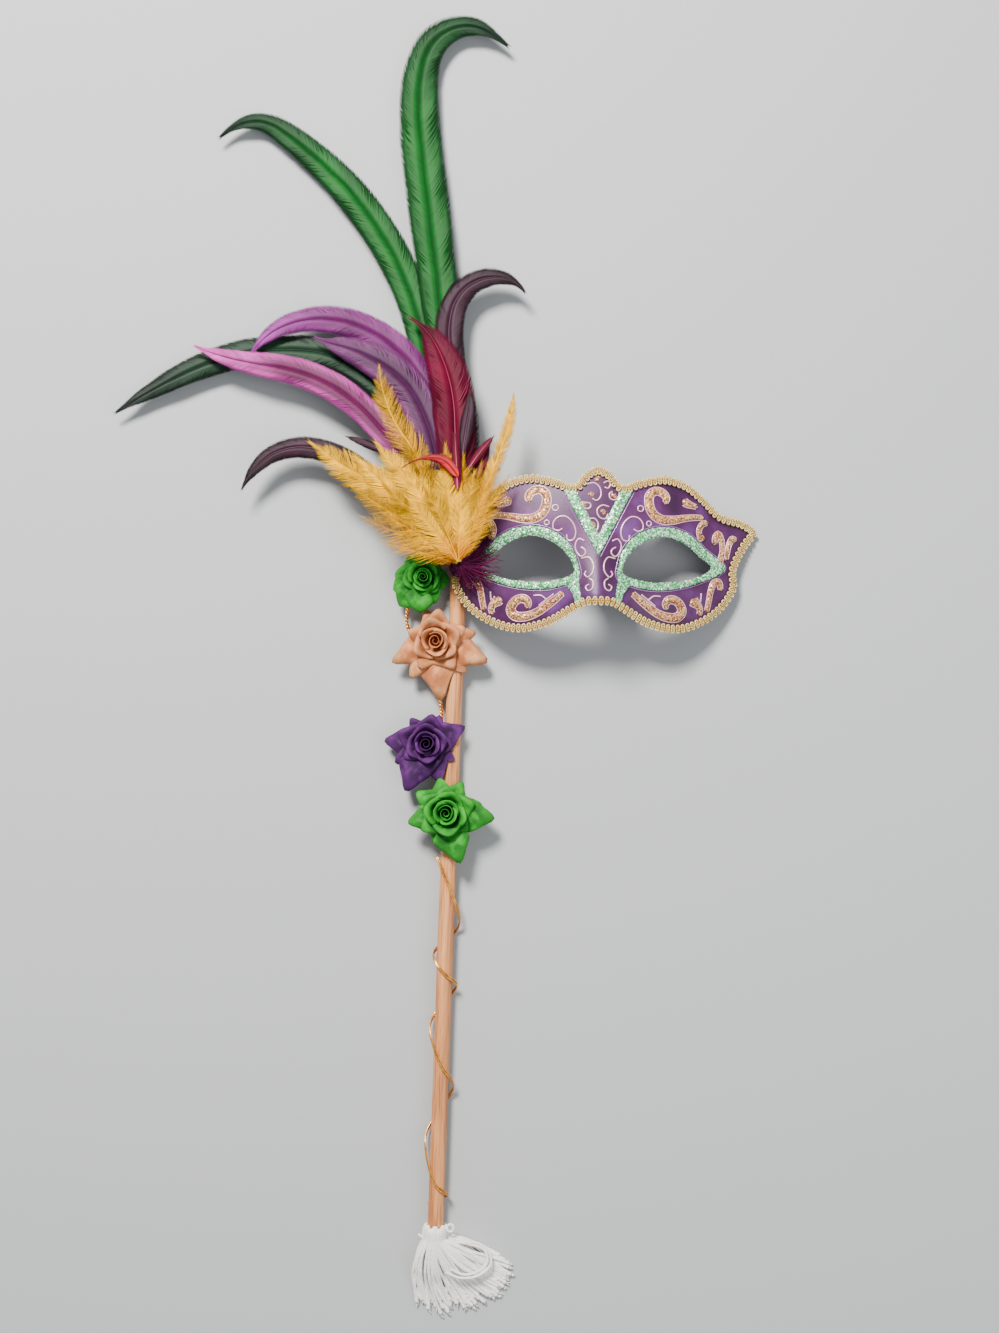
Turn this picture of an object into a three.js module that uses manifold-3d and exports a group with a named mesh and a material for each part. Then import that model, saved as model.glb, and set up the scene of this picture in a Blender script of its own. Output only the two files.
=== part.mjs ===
// A carnival half mask on a wooden handle, lying face up. Lengths are millimetres. The origin lies on
// the surface below the handle's lower end, +Y runs up the handle, +X towards the mask and +Z up.
import * as THREE from "three";
import { mergeVertices } from "three/addons/utils/BufferGeometryUtils.js";
import Module from "manifold-3d";

const wasm = await Module();
wasm.setup();

// Clearance that every glued or resting pair keeps.
const gap = 0.3;

// Handle: a round dowel.
const handleRadius = 4.75;
const handleLength = 457;
const handleSides = 16;

// Wire: two thin strands side by side, wound round the handle from the lowest rose to the tassel.
const wireThickness = 1.1;
const wirePairWidth = 2.1;
const wireUnderGap = 0.2;
const wireSlack = 0.25;
const wireBelowRose = 23;
const wireAboveTassel = 9.5;
const wireReach = 8;
const wireSteps = 40;
const stemThickness = 1.6;
const stemSteps = 7;
const stemSides = 6;

// Mask shell.
const maskHalfWidth = 97;
const maskHeight = 96;
const maskWall = 1.8;
const maskDepth = 42;
const maskOverHandle = 16;
const maskBelowTop = 52;
const maskLean = 1.7;
const wingStart = 66;
const wingFlare = 9;
const wingTipHeight = 0.4;
const handleContact = 28.8;
const contactSteps = 12;
const edgeFall = 24;
const edgeFallMiddle = 8;
const noseRise = 11;
const noseHalfWidth = 13;
const noseTop = 26;
const noseLength = 44;
const noseGrowth = 1.4;
const socketDepth = 4;
const socketAcross = 40;
const socketHalfWidth = 26;
const socketHalfHeight = 13;
const meshStep = 10;
const noseMeshStep = 6.2;
const noseMeshReach = 22;
const slabReachShare = 0.66;
const cutReach = 126;
const outlineSamples = 38;
const foldedShare = 0.985;
const eyeSamples = 22;

// Trim on the mask.
const braidWidth = 4.6;
const braidThickness = 1.8;
const braidOverhang = 1.2;
const glitterThickness = 0.9;
const veeWidth = 6.2;
const veeTop = 46;
const veeTopHalfWidth = 18.5;
const veeBottom = 5.6;
const legWidth = 3.8;
const scrollRelief = 0.8;
const scrollRoot = 0.7;
const scrollWidth = 4.2;
const scrollTopShare = 0.72;
const scrollStep = 8;

// Plume.
const knotRadius = 8;
const knotAcross = 1;
const knotBelowMask = 2;
const knotHeight = 17;
const plumeHeight = 20.5;
const plumeFall = 15;
const plumeFallReach = 160;
const plumeRise = 0.5;
const plumeRiseReach = 70;
const layerPitch = 1.25;
const vaneThickness = 0.85;
const quillWidth = 1.8;
const bodyThickness = 4.4;
const plumeLength = 359;
const featherWidth = 25;
const bladeStep = 48;
const bodyLayer = 12.4;
const bodyLength = 80;
const bodyLockWidth = 23;
const bodyHeadHalfWidth = 17;
const bodyHeadHalfLength = 27;
const bodyHeadAlong = 29;
const bodyHeadAcross = 12;
const bodyHeadTurn = 16;
const knotShoulder = 3;
const knotTopDrop = 0.6;
const knotSides = 12;
const bodyHeadShare = 0.62;
const bodyHeadSides = 6;
const bodyLockRings = 3;

// Roses.
const roseSize = 24;
const roseHeight = 26;
const roseRun = 149;
const petalThickness = 1.3;
const stubSides = 6;

// Tassel.
const tasselHeadRadius = 8.6;
const tasselHeadLength = 17;
const tasselHeadBelow = 4.5;
const tasselWall = 1.2;
const tasselRound = 2;
const tasselFootShare = 0.92;
const tasselTopShare = 0.94;
const tasselHeadSides = 10;
const lockRadius = 3.1;
const lockLength = 40;
const lockStart = 2;
const lockSteps = 4;
const lockSides = 5;

const degree = Math.PI / 180;
const wireLift = wireThickness + wireUnderGap + wireSlack + gap;
const handleAxisHeight = wireLift + handleRadius;
const handleTop = handleAxisHeight + handleRadius;
const leanAngle = maskLean * degree;
const maskAcross = maskHalfWidth - maskOverHandle;
const maskAlong = handleLength - maskBelowTop;
const knotAlong = maskAlong - knotBelowMask;
const tasselTop = tasselHeadLength - tasselHeadBelow;
const wireStart = knotAlong - roseRun - wireBelowRose;
const wireRun = wireStart - tasselTop - wireAboveTassel;

// Outline of the braid's outer edge, right half, from the crown down to the nose: shares of the half
// width and of the height.
const outlineRows = [
  { x: 0.0, y: 0.604 },
  { x: 0.078, y: 0.563 },
  { x: 0.143, y: 0.49 },
  { x: 0.25, y: 0.522 },
  { x: 0.404, y: 0.551 },
  { x: 0.545, y: 0.514 },
  { x: 0.665, y: 0.425 },
  { x: 0.76, y: 0.341 },
  { x: 0.915, y: 0.3 },
  { x: 1.0, y: 0.232 },
  { x: 0.93, y: 0.13 },
  { x: 0.862, y: -0.01 },
  { x: 0.868, y: -0.115 },
  { x: 0.78, y: -0.255 },
  { x: 0.637, y: -0.354 },
  { x: 0.48, y: -0.398 },
  { x: 0.3, y: -0.366 },
  { x: 0.155, y: -0.288 },
  { x: 0.07, y: -0.243 },
  { x: 0.0, y: -0.238 },
];

// Eye hole and the outer edge of its glitter rim, right eye, row by row from the inner corner over
// the top: shares of the half width and of the height.
const eyeRows = [
  { holeX: 0.143, holeY: -0.046, rimX: 0.118, rimY: -0.075 },
  { holeX: 0.15, holeY: 0.012, rimX: 0.124, rimY: 0.02 },
  { holeX: 0.198, holeY: 0.087, rimX: 0.17, rimY: 0.126 },
  { holeX: 0.278, holeY: 0.15, rimX: 0.26, rimY: 0.203 },
  { holeX: 0.4, holeY: 0.184, rimX: 0.41, rimY: 0.238 },
  { holeX: 0.53, holeY: 0.146, rimX: 0.555, rimY: 0.2 },
  { holeX: 0.62, holeY: 0.076, rimX: 0.66, rimY: 0.115 },
  { holeX: 0.704, holeY: 0.004, rimX: 0.79, rimY: 0.003 },
  { holeX: 0.6, holeY: -0.064, rimX: 0.64, rimY: -0.082 },
  { holeX: 0.44, holeY: -0.095, rimX: 0.45, rimY: -0.134 },
  { holeX: 0.28, holeY: -0.094, rimX: 0.27, rimY: -0.134 },
];

// Inner edge of the leg that the rim sends down beside the nose: shares of half width and height.
const rimLeg = {
  top: { x: 0.127, y: -0.05 },
  end: { x: 0.1, y: -0.245 },
};

// Raised scrolls, right half: points along each stroke, with the stroke's width as a share of
// scrollWidth, and its place as shares of the half width and of the height.
const scrollRows = {
  browHook: [
    { x: 0.404, y: 0.375, w: 0.35 },
    { x: 0.402, y: 0.432, w: 0.95 },
    { x: 0.352, y: 0.458, w: 0.9 },
    { x: 0.305, y: 0.425, w: 1.0 },
    { x: 0.303, y: 0.34, w: 1.05 },
    { x: 0.36, y: 0.288, w: 1.05 },
    { x: 0.46, y: 0.289, w: 0.95 },
    { x: 0.57, y: 0.305, w: 0.7 },
    { x: 0.67, y: 0.325, w: 0.4 },
  ],
  browComma: [
    { x: 0.52, y: 0.42, w: 1.0 },
    { x: 0.565, y: 0.405, w: 0.85 },
    { x: 0.61, y: 0.38, w: 0.4 },
  ],
  templeDrop: [
    { x: 0.7, y: 0.292, w: 0.5 },
    { x: 0.64, y: 0.262, w: 0.6 },
    { x: 0.625, y: 0.21, w: 0.65 },
    { x: 0.643, y: 0.16, w: 1.15 },
  ],
  templeScroll: [
    { x: 0.737, y: 0.165, w: 0.6 },
    { x: 0.752, y: 0.222, w: 0.8 },
    { x: 0.782, y: 0.228, w: 0.8 },
    { x: 0.797, y: 0.16, w: 0.7 },
    { x: 0.775, y: 0.09, w: 0.65 },
    { x: 0.752, y: 0.066, w: 0.8 },
  ],
  wingStrip: [
    { x: 0.885, y: 0.222, w: 0.8 },
    { x: 0.842, y: 0.14, w: 0.7 },
    { x: 0.822, y: 0.05, w: 0.5 },
  ],
  cheekScroll: [
    { x: 0.18, y: -0.17, w: 0.55 },
    { x: 0.256, y: -0.222, w: 0.75 },
    { x: 0.335, y: -0.268, w: 0.85 },
    { x: 0.42, y: -0.308, w: 1.0 },
    { x: 0.5, y: -0.296, w: 1.0 },
    { x: 0.522, y: -0.245, w: 0.9 },
    { x: 0.49, y: -0.198, w: 0.85 },
    { x: 0.443, y: -0.2, w: 0.95 },
    { x: 0.432, y: -0.25, w: 0.5 },
  ],
  cheekDrop: [
    { x: 0.59, y: -0.183, w: 1.25 },
    { x: 0.632, y: -0.228, w: 0.85 },
    { x: 0.64, y: -0.285, w: 0.5 },
  ],
  cheekArch: [
    { x: 0.684, y: -0.262, w: 0.7 },
    { x: 0.707, y: -0.165, w: 0.75 },
    { x: 0.735, y: -0.085, w: 0.85 },
    { x: 0.775, y: -0.072, w: 0.85 },
    { x: 0.79, y: -0.115, w: 0.6 },
  ],
};

// Winding of the wire: how far it has run down the handle, the turn so far in quarters from the
// handle's top, and the reach from the handle's axis, as shares of the run and of wireReach. Reach
// 0 stands for the tight place under the handle.
const wireRows = [
  { run: 0.0, quarter: -0.7, reach: 0.98 },
  { run: 0.07, quarter: 0, reach: 0.78 },
  { run: 0.187, quarter: 1, reach: 1.0 },
  { run: 0.249, quarter: 2, reach: 0 },
  { run: 0.282, quarter: 3, reach: 0.88 },
  { run: 0.33, quarter: 4, reach: 0.78 },
  { run: 0.368, quarter: 5, reach: 0.94 },
  { run: 0.426, quarter: 6, reach: 0 },
  { run: 0.488, quarter: 7, reach: 0.95 },
  { run: 0.588, quarter: 8, reach: 0.78 },
  { run: 0.655, quarter: 9, reach: 0.98 },
  { run: 0.732, quarter: 10, reach: 0 },
  { run: 0.809, quarter: 11, reach: 1.0 },
  { run: 0.933, quarter: 12, reach: 0.78 },
  { run: 0.966, quarter: 13, reach: 0.85 },
  { run: 0.985, quarter: 14, reach: 0 },
  { run: 1.0, quarter: 14.6, reach: 0.76 },
];

// Feathers, lowest first: length and width as shares of plumeLength and of featherWidth, and the
// heading at a few shares of the length, in degrees left of the handle's direction.
const featherRows = [
  {
    name: "feather_green_far",
    layer: 0,
    length: 0.7883,
    width: 0.66,
    colour: 0x3d6b43,
    at: [0, 0.23, 0.36, 0.45, 0.53, 0.63, 0.73, 0.82, 1],
    heading: [17, 25, 42, 57, 81, 95, 106, 117, 126],
  },
  {
    name: "feather_green_left",
    layer: 1,
    length: 0.9053,
    width: 0.7,
    colour: 0x4d8a57,
    at: [0, 0.27, 0.41, 0.53, 0.63, 0.79, 0.88, 0.93, 1],
    heading: [8, 14, 13, 27, 36, 51, 57, 100, 140],
  },
  {
    name: "feather_green_tall",
    layer: 2,
    length: 1,
    width: 0.88,
    colour: 0x3f8048,
    at: [0, 0.28, 0.49, 0.66, 0.76, 0.83, 0.87, 0.91, 0.95, 1],
    heading: [5, 7, 9, 9, 2, -17, -50, -80, -117, -130],
  },
  {
    name: "feather_plum_left",
    layer: 3,
    length: 0.4401,
    width: 0.48,
    colour: 0x5a3344,
    at: [0, 0.28, 0.46, 0.59, 0.68, 0.78, 0.86, 1],
    heading: [44, 47, 56, 71, 85, 109, 133, 158],
  },
  {
    name: "feather_plum_right",
    layer: 3,
    length: 0.5571,
    width: 0.62,
    colour: 0x5f3b52,
    at: [0, 0.31, 0.48, 0.63, 0.72, 0.78, 0.85, 0.92, 1],
    heading: [0, 5, 10, 6, -13, -39, -70, -100, -150],
  },
  {
    name: "feather_violet",
    layer: 4,
    length: 0.6323,
    width: 0.6,
    colour: 0x9d5290,
    at: [0, 0.28, 0.43, 0.52, 0.65, 0.74, 0.82, 0.9, 1],
    heading: [9, 13, 23, 43, 65, 83, 100, 121, 152],
  },
  {
    name: "feather_pink",
    layer: 5,
    length: 0.585,
    width: 0.58,
    colour: 0xa85a94,
    at: [0, 0.26, 0.37, 0.45, 0.55, 0.65, 0.76, 0.87, 1],
    heading: [24, 34, 43, 44, 57, 70, 83, 80, 66],
  },
  {
    name: "feather_mauve",
    layer: 6,
    length: 0.4624,
    width: 0.72,
    colour: 0x8d6888,
    at: [0, 0.39, 0.56, 0.66, 0.78, 0.91, 1],
    heading: [13, 16, 30, 50, 64, 78, 66],
  },
  {
    name: "feather_plum_middle",
    layer: 7,
    length: 0.312,
    width: 0.96,
    colour: 0x453036,
    at: [0, 0.5, 1],
    heading: [4, 2, 6],
  },
  {
    name: "feather_burgundy",
    layer: 8,
    length: 0.4039,
    width: 1,
    colour: 0x7b3045,
    at: [0, 0.54, 0.73, 0.86, 1],
    heading: [4, 4, 19, 31, 62],
  },
  {
    name: "feather_burgundy_short",
    layer: 9,
    length: 0.1894,
    width: 0.36,
    colour: 0x8a2a40,
    at: [0, 0.6, 1],
    heading: [-9, -10, -22],
  },
  {
    name: "feather_yellow_low",
    layer: 9,
    length: 0.2451,
    width: 0.6,
    colour: 0xe0a62f,
    at: [0, 0.5, 0.75, 1],
    heading: [38, 48, 75, 92],
  },
  {
    name: "feather_yellow_left",
    layer: 10,
    length: 0.2953,
    width: 0.88,
    colour: 0xe8b13a,
    at: [0, 0.27, 0.47, 0.69, 1],
    heading: [44, 47, 56, 61, 54],
  },
  {
    name: "feather_yellow_right",
    layer: 10,
    length: 0.273,
    width: 0.44,
    colour: 0xecb03a,
    at: [0, 0.42, 0.66, 1],
    heading: [-15, -20, -18, -2],
  },
  {
    name: "feather_yellow_top",
    layer: 11,
    length: 0.3315,
    width: 0.72,
    colour: 0xeab440,
    at: [0, 0.39, 0.61, 0.8, 1],
    heading: [18, 27, 38, 22, 4],
  },
];

// Outline of a vane: half width along the feather, as shares of the length and of the half width.
const vaneRows = [
  { at: 0.0, half: 0 },
  { at: 0.12, half: 0.1 },
  { at: 0.24, half: 0.5 },
  { at: 0.4, half: 0.86 },
  { at: 0.56, half: 1.0 },
  { at: 0.7, half: 0.98 },
  { at: 0.8, half: 0.86 },
  { at: 0.88, half: 0.68 },
  { at: 0.94, half: 0.44 },
  { at: 1.0, half: 0.06 },
];

// Fluffy yellow body: locks that fan out from the knot, with their length and width as shares of
// bodyLength and of bodyLockWidth.
const bodyLocks = [
  { toward: -30, length: 0.575, width: 0.652 },
  { toward: -14, length: 0.825, width: 0.87 },
  { toward: 4, length: 0.9, width: 0.957 },
  { toward: 22, length: 1, width: 1 },
  { toward: 41, length: 0.95, width: 0.957 },
  { toward: 60, length: 0.725, width: 0.739 },
];

// Knot from its underside up: radius as a share of knotRadius, and how far its edge is cut back from
// the underside or the top, as shares of knotShoulder and knotTopDrop.
const knotRows = [
  { radius: 0.75, up: 0 },
  { radius: 1, up: 1 },
  { radius: 1, down: 1 },
  { radius: 0.6, drop: 1 },
];

// Roses: place across the handle and radius as shares of roseSize, distance below the knot as a share
// of roseRun, height and base as shares of roseHeight, and the first petal's turn in degrees.
const roseRows = [
  {
    name: "rose_green_top",
    colour: 0x3a8a3c,
    across: -0.9667,
    below: 0.0658,
    radius: 0.7292,
    height: 1,
    base: 0,
    turn: 20,
  },
  {
    name: "rose_copper",
    colour: 0xd0a58c,
    across: -0.4375,
    below: 0.3423,
    radius: 1,
    height: 0.9231,
    base: 0,
    turn: 50,
  },
  {
    name: "rose_purple",
    colour: 0x5b3b56,
    across: -0.6417,
    below: 0.7383,
    radius: 0.9375,
    height: 0.9231,
    base: 0,
    turn: 5,
  },
  {
    name: "rose_green_low",
    colour: 0x3f9a43,
    across: 0.0625,
    below: 1,
    radius: 0.9583,
    height: 0.8462,
    base: 0.2,
    turn: 35,
  },
];

// Stub of a rose from its foot up: shares of the rose's radius and height.
const stubRows = [
  { radius: 0, height: 0 },
  { radius: 0.3, height: 0 },
  { radius: 0.42, height: 0.42 },
  { radius: 0.22, height: 0.72 },
  { radius: 0.16, height: 0.9 },
  { radius: 0, height: 0.9 },
];

// Rings of petals, outside first: petals in the ring, reach and root as shares of the rose's radius,
// heights of the root, the belly and the lip as shares of its height, and half spread in degrees.
const petalRings = [
  { petals: 5, reach: 1.0, root: 0.3, rootUp: 0.44, bellyUp: 0.58, lipUp: 0.5, spread: 38, bends: 2 },
  { petals: 4, reach: 0.66, root: 0.22, rootUp: 0.52, bellyUp: 0.74, lipUp: 0.8, spread: 46, bends: 1 },
  { petals: 3, reach: 0.36, root: 0.12, rootUp: 0.6, bellyUp: 0.9, lipUp: 1.0, spread: 56, bends: 1 },
];

// Form of every petal: degrees from one ring to the next, how much shorter each second petal is, its
// spread at the root and how that grows and closes again, how far its corners draw back and cup up,
// and how full its belly is.
const petalForm = {
  ringTurn: 31,
  shorter: 0.07,
  rootSpread: 0.72,
  spreadGrowth: 0.5,
  spreadClosing: 0.45,
  cornerBack: 0.13,
  cornerCup: 0.05,
  bellyFullness: 0.6,
};

// Places that the stem wires between the roses pass through: across the handle as a share of
// roseSize, below the knot as a share of roseRun and up as a share of roseHeight.
const stemRows = [
  {
    name: "stem_wire_upper",
    places: [
      { across: -1.0333, below: 0.1107, up: 0.1769 },
      { across: -1.2292, below: 0.1678, up: 0.3077 },
      { across: -1.2083, below: 0.2483, up: 0.3077 },
      { across: -1, below: 0.2919, up: 0.2692 },
      { across: -0.7875, below: 0.3087, up: 0.2154 },
    ],
  },
  {
    name: "stem_wire_middle",
    places: [
      { across: -0.4375, below: 0.4094, up: 0.2308 },
      { across: -0.4375, below: 0.4631, up: 0.3077 },
      { across: -0.3333, below: 0.5436, up: 0.3462 },
      { across: -0.3083, below: 0.6107, up: 0.3077 },
      { across: -0.5708, below: 0.6826, up: 0.2077 },
    ],
  },
];

// Locks of the tassel: side of the head they leave from, heading in degrees right of straight down,
// bend on the way, and length as a share of lockLength.
const lockRows = [
  { side: -0.75, heading: -22, bend: 26, length: 0.62 },
  { side: -0.5, heading: -12, bend: 22, length: 0.9 },
  { side: -0.25, heading: -2, bend: 20, length: 1.0 },
  { side: 0.0, heading: 8, bend: 22, length: 1.08 },
  { side: 0.2, heading: 18, bend: 24, length: 1.1 },
  { side: 0.4, heading: 28, bend: 26, length: 1.14 },
  { side: 0.55, heading: 38, bend: 28, length: 1.16 },
  { side: 0.7, heading: 48, bend: 28, length: 1.1 },
  { side: 0.85, heading: 58, bend: 22, length: 0.95 },
];

// Form of every lock: where it leaves the head, its fullness at the root and how that swells and
// closes, how soon it has fallen to the surface, and how far it is pressed flat there.
const lockForm = { leaveShare: 0.62, root: 0.85, swelling: 0.45, closing: 0.75, fall: 1.6, pressed: 0.9 };

// A closed body from a geometry, for joining and cutting.
function solid(geometry) {
  const bare = geometry.index ? geometry.toNonIndexed() : geometry.clone();
  bare.deleteAttribute("normal");
  bare.deleteAttribute("uv");
  const merged = mergeVertices(bare, 1e-4);
  return new wasm.Manifold(
    new wasm.Mesh({
      numProp: 3,
      vertProperties: merged.attributes.position.array,
      triVerts: new Uint32Array(merged.index.array),
    }),
  );
}

// A closed body from points and triangles, turned inside out where that makes its volume positive.
function closedBody(points, triangles) {
  const geometry = new THREE.BufferGeometry().setFromPoints(points);
  geometry.setIndex(triangles);
  const made = solid(geometry);
  if (made.volume() > 0) return made;
  geometry.setIndex(triangles.toReversed());
  return solid(geometry);
}

// The geometry of a joined or cut body.
function geometryOf(body) {
  const mesh = body.getMesh();
  const geometry = new THREE.BufferGeometry();
  geometry.setAttribute("position", new THREE.BufferAttribute(mesh.vertProperties, 3));
  geometry.setIndex(new THREE.BufferAttribute(mesh.triVerts, 1));
  geometry.computeVertexNormals();
  return geometry;
}

// A closed body through rings of equally many points, all turning the same way.
function loft(rings) {
  const sides = rings[0].length;
  const points = rings.flat();
  const triangles = [];
  for (let ring = 0; ring + 1 < rings.length; ring += 1) {
    for (let side = 0; side < sides; side += 1) {
      const a = ring * sides + side;
      const b = ring * sides + ((side + 1) % sides);
      triangles.push(a, b, b + sides, a, b + sides, a + sides);
    }
  }
  const last = (rings.length - 1) * sides;
  for (let side = 1; side + 1 < sides; side += 1) {
    triangles.push(0, side + 1, side);
    triangles.push(last, last + side, last + side + 1);
  }
  return closedBody(points, triangles);
}

// A closed body between two sheets of points, each a grid of the same steps.
function thickGrid(top, bottom, stepsX, stepsY) {
  const under = top.length;
  const at = (i, j) => i * (stepsY + 1) + j;
  const triangles = [];
  for (let i = 0; i < stepsX; i += 1) {
    for (let j = 0; j < stepsY; j += 1) {
      const [a, b, c, d] = [at(i, j), at(i + 1, j), at(i + 1, j + 1), at(i, j + 1)];
      triangles.push(a, b, c, a, c, d);
      triangles.push(under + a, under + c, under + b, under + a, under + d, under + c);
    }
  }
  const wall = (a, b) => triangles.push(a, under + a, under + b, a, under + b, b);
  for (let i = 0; i < stepsX; i += 1) {
    wall(at(i, 0), at(i + 1, 0));
    wall(at(i + 1, stepsY), at(i, stepsY));
  }
  for (let j = 0; j < stepsY; j += 1) {
    wall(at(0, j + 1), at(0, j));
    wall(at(stepsX, j), at(stepsX, j + 1));
  }
  return closedBody([...top, ...bottom], triangles);
}

// A closed body between two height functions over the mask's rectangle, finer along the nose.
function slab(bottom, top) {
  const half = [0];
  while (half.at(-1) < maskHalfWidth + braidOverhang) {
    half.push(half.at(-1) + (half.at(-1) < noseMeshReach ? noseMeshStep : meshStep));
  }
  const lines = [...half.slice(1).toReversed().map((x) => -x), ...half];
  const reach = maskHeight * slabReachShare;
  const stepsY = Math.round((2 * reach) / meshStep);
  const places = [];
  for (const x of lines) {
    for (let j = 0; j <= stepsY; j += 1) places.push([x, -reach + (2 * reach * j) / stepsY]);
  }
  return thickGrid(
    places.map(([x, y]) => new THREE.Vector3(x, y, top(x, y))),
    places.map(([x, y]) => new THREE.Vector3(x, y, bottom(x, y))),
    lines.length - 1,
    stepsY,
  );
}

// An upright prism of a flat shape that passes through the whole mask.
function prism(shape) {
  const geometry = new THREE.ExtrudeGeometry(shape, { depth: 2 * cutReach, bevelEnabled: false });
  geometry.translate(0, 0, -cutReach);
  return solid(geometry);
}

// Points of a smooth curve through rows of a table.
function smooth(points, count, closed = false) {
  const curve = new THREE.CatmullRomCurve3(
    points.map(([x, y]) => new THREE.Vector3(x, y, 0)),
    closed,
    "centripetal",
  );
  const found = curve.getPoints(count).map((p) => new THREE.Vector2(p.x, p.y));
  return closed ? found.slice(0, -1) : found;
}

// The mask's whole outline, moved in by a distance. Points that a tight corner folds over are dropped.
function maskOutline(inset) {
  const right = smooth(
    outlineRows.map((row) => [row.x * maskHalfWidth, row.y * maskHeight]),
    outlineSamples,
  );
  const left = right.slice(1, -1).map((p) => new THREE.Vector2(-p.x, p.y));
  const loop = [...right, ...left.toReversed()];
  const moved = loop.map((p, i) => {
    const before = loop[(i + loop.length - 1) % loop.length];
    const after = loop[(i + 1) % loop.length];
    const along = after.clone().sub(before).normalize();
    return new THREE.Vector2(p.x + along.y * inset, p.y - along.x * inset);
  });
  const clear = Math.abs(inset) * foldedShare;
  return moved.filter((p) => loop.every((q) => p.distanceTo(q) >= clear)).toReversed();
}

// Height of the shell's back, before the mask tips over the handle.
function wrapHeight(x) {
  const across = maskDepth * (1 - (x / maskHalfWidth) ** 2);
  const out = Math.max(0, Math.abs(x) - wingStart) / (maskHalfWidth - wingStart);
  return across + wingFlare * out ** 2;
}

// The shell's form with its nose, eye sockets and falling edges, as if its wing tips lay level.
function faceForm(x, y) {
  const down = THREE.MathUtils.clamp((noseTop - y) / noseLength, 0, 1);
  const nose = noseRise * Math.exp(-((x / noseHalfWidth) ** 2)) * down ** noseGrowth;
  const eyeX = (Math.abs(x) - socketAcross) / socketHalfWidth;
  const eyeY = (y - socketHalfHeight / 4) / socketHalfHeight;
  const socket = socketDepth * Math.exp(-(eyeX ** 2) - eyeY ** 2);
  const edge = edgeFall * ((y - edgeFallMiddle) / maskHeight) ** 2;
  return wrapHeight(x) - wrapHeight(maskHalfWidth) + nose - socket - edge + wingTipHeight;
}

// The slope that brings the left wing's back just over the handle, found along the handle's far edge.
function restSlope() {
  let slope = 0;
  for (let y = -handleContact; y <= handleContact; y += handleContact / contactSteps) {
    const x = -(maskAcross + handleRadius) - y * Math.sin(leanAngle);
    const wanted = handleTop + 2 * gap - faceForm(x, y);
    slope = Math.max(slope, wanted / (maskHalfWidth - x));
  }
  return slope;
}
const maskSlope = restSlope();
const backHeight = (x, y) => faceForm(x, y) + maskSlope * (maskHalfWidth - x);
const faceHeight = (x, y) => backHeight(x, y) + maskWall;

// Points of an eye hole or of its rim's outer edge.
const eyePoints = (keyX, keyY, side) =>
  smooth(
    eyeRows.map((row) => [side * row[keyX] * maskHalfWidth, row[keyY] * maskHeight]),
    eyeSamples,
    true,
  );

// A raised stroke on the shell: it starts under the face and stands proud of it by scrollRelief.
function scroll(rows, side) {
  const path = new THREE.CatmullRomCurve3(
    rows.map((row) => new THREE.Vector3(side * row.x * maskHalfWidth, row.y * maskHeight, row.w)),
    false,
    "centripetal",
  );
  const steps = Math.max(4, Math.round(path.getLength() / scrollStep));
  const points = path.getPoints(steps);
  const rings = points.map((p, i) => {
    const before = points[Math.max(i - 1, 0)];
    const after = points[Math.min(i + 1, steps)];
    const along = new THREE.Vector2(after.x - before.x, after.y - before.y).normalize();
    const half = (p.z * scrollWidth) / 2;
    const edge = (across, rise) => {
      const [x, y] = [p.x - along.y * across, p.y + along.x * across];
      return new THREE.Vector3(x, y, faceHeight(x, y) + rise);
    };
    return [
      edge(-half, -scrollRoot),
      edge(half, -scrollRoot),
      edge(half * scrollTopShare, scrollRelief),
      edge(-half * scrollTopShare, scrollRelief),
    ];
  });
  return loft(rings);
}

const shellOutline = new THREE.Shape(maskOutline(braidOverhang));
const fieldPrism = prism(new THREE.Shape(maskOutline(braidWidth + gap)));

function maskShell() {
  const shape = shellOutline.clone();
  for (const side of [-1, 1]) {
    shape.holes.push(new THREE.Path(eyePoints("holeX", "holeY", side)));
  }
  let shell = prism(shape).intersect(slab(backHeight, faceHeight));
  for (const side of [-1, 1]) {
    for (const rows of Object.values(scrollRows)) {
      shell = shell.add(scroll(rows, side).intersect(fieldPrism));
    }
  }
  return shell;
}

const glitterSlab = slab(
  (x, y) => faceHeight(x, y) + gap,
  (x, y) => faceHeight(x, y) + gap + glitterThickness,
);

// Glitter rim round an eye, with the leg that runs down beside the nose.
function eyeRim(side) {
  const outer = new THREE.Shape(eyePoints("rimX", "rimY", side));
  const hole = new THREE.Shape(eyePoints("holeX", "holeY", side));
  const legPoint = ({ x, y }, width) =>
    new THREE.Vector2(side * (x * maskHalfWidth + width), y * maskHeight);
  const leg = new THREE.Shape([
    legPoint(rimLeg.top, 0),
    legPoint(rimLeg.top, legWidth),
    legPoint(rimLeg.end, legWidth),
    legPoint(rimLeg.end, 0),
  ]);
  const flat = prism(outer).add(prism(leg)).subtract(prism(hole)).intersect(fieldPrism);
  return flat.intersect(glitterSlab);
}

// The glitter band that drops from the brow to the bridge of the nose.
function veeBand() {
  const rise = veeTop - veeBottom;
  const inner = veeTopHalfWidth - veeWidth / 2;
  const outer = veeTopHalfWidth + veeWidth / 2;
  const innerBottom = veeBottom + (rise * (outer - inner)) / outer;
  const shape = new THREE.Shape([
    new THREE.Vector2(0, veeBottom),
    new THREE.Vector2(outer, veeTop),
    new THREE.Vector2(inner, veeTop),
    new THREE.Vector2(0, innerBottom),
    new THREE.Vector2(-inner, veeTop),
    new THREE.Vector2(-outer, veeTop),
  ]);
  return prism(shape).intersect(fieldPrism).intersect(glitterSlab);
}

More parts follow.
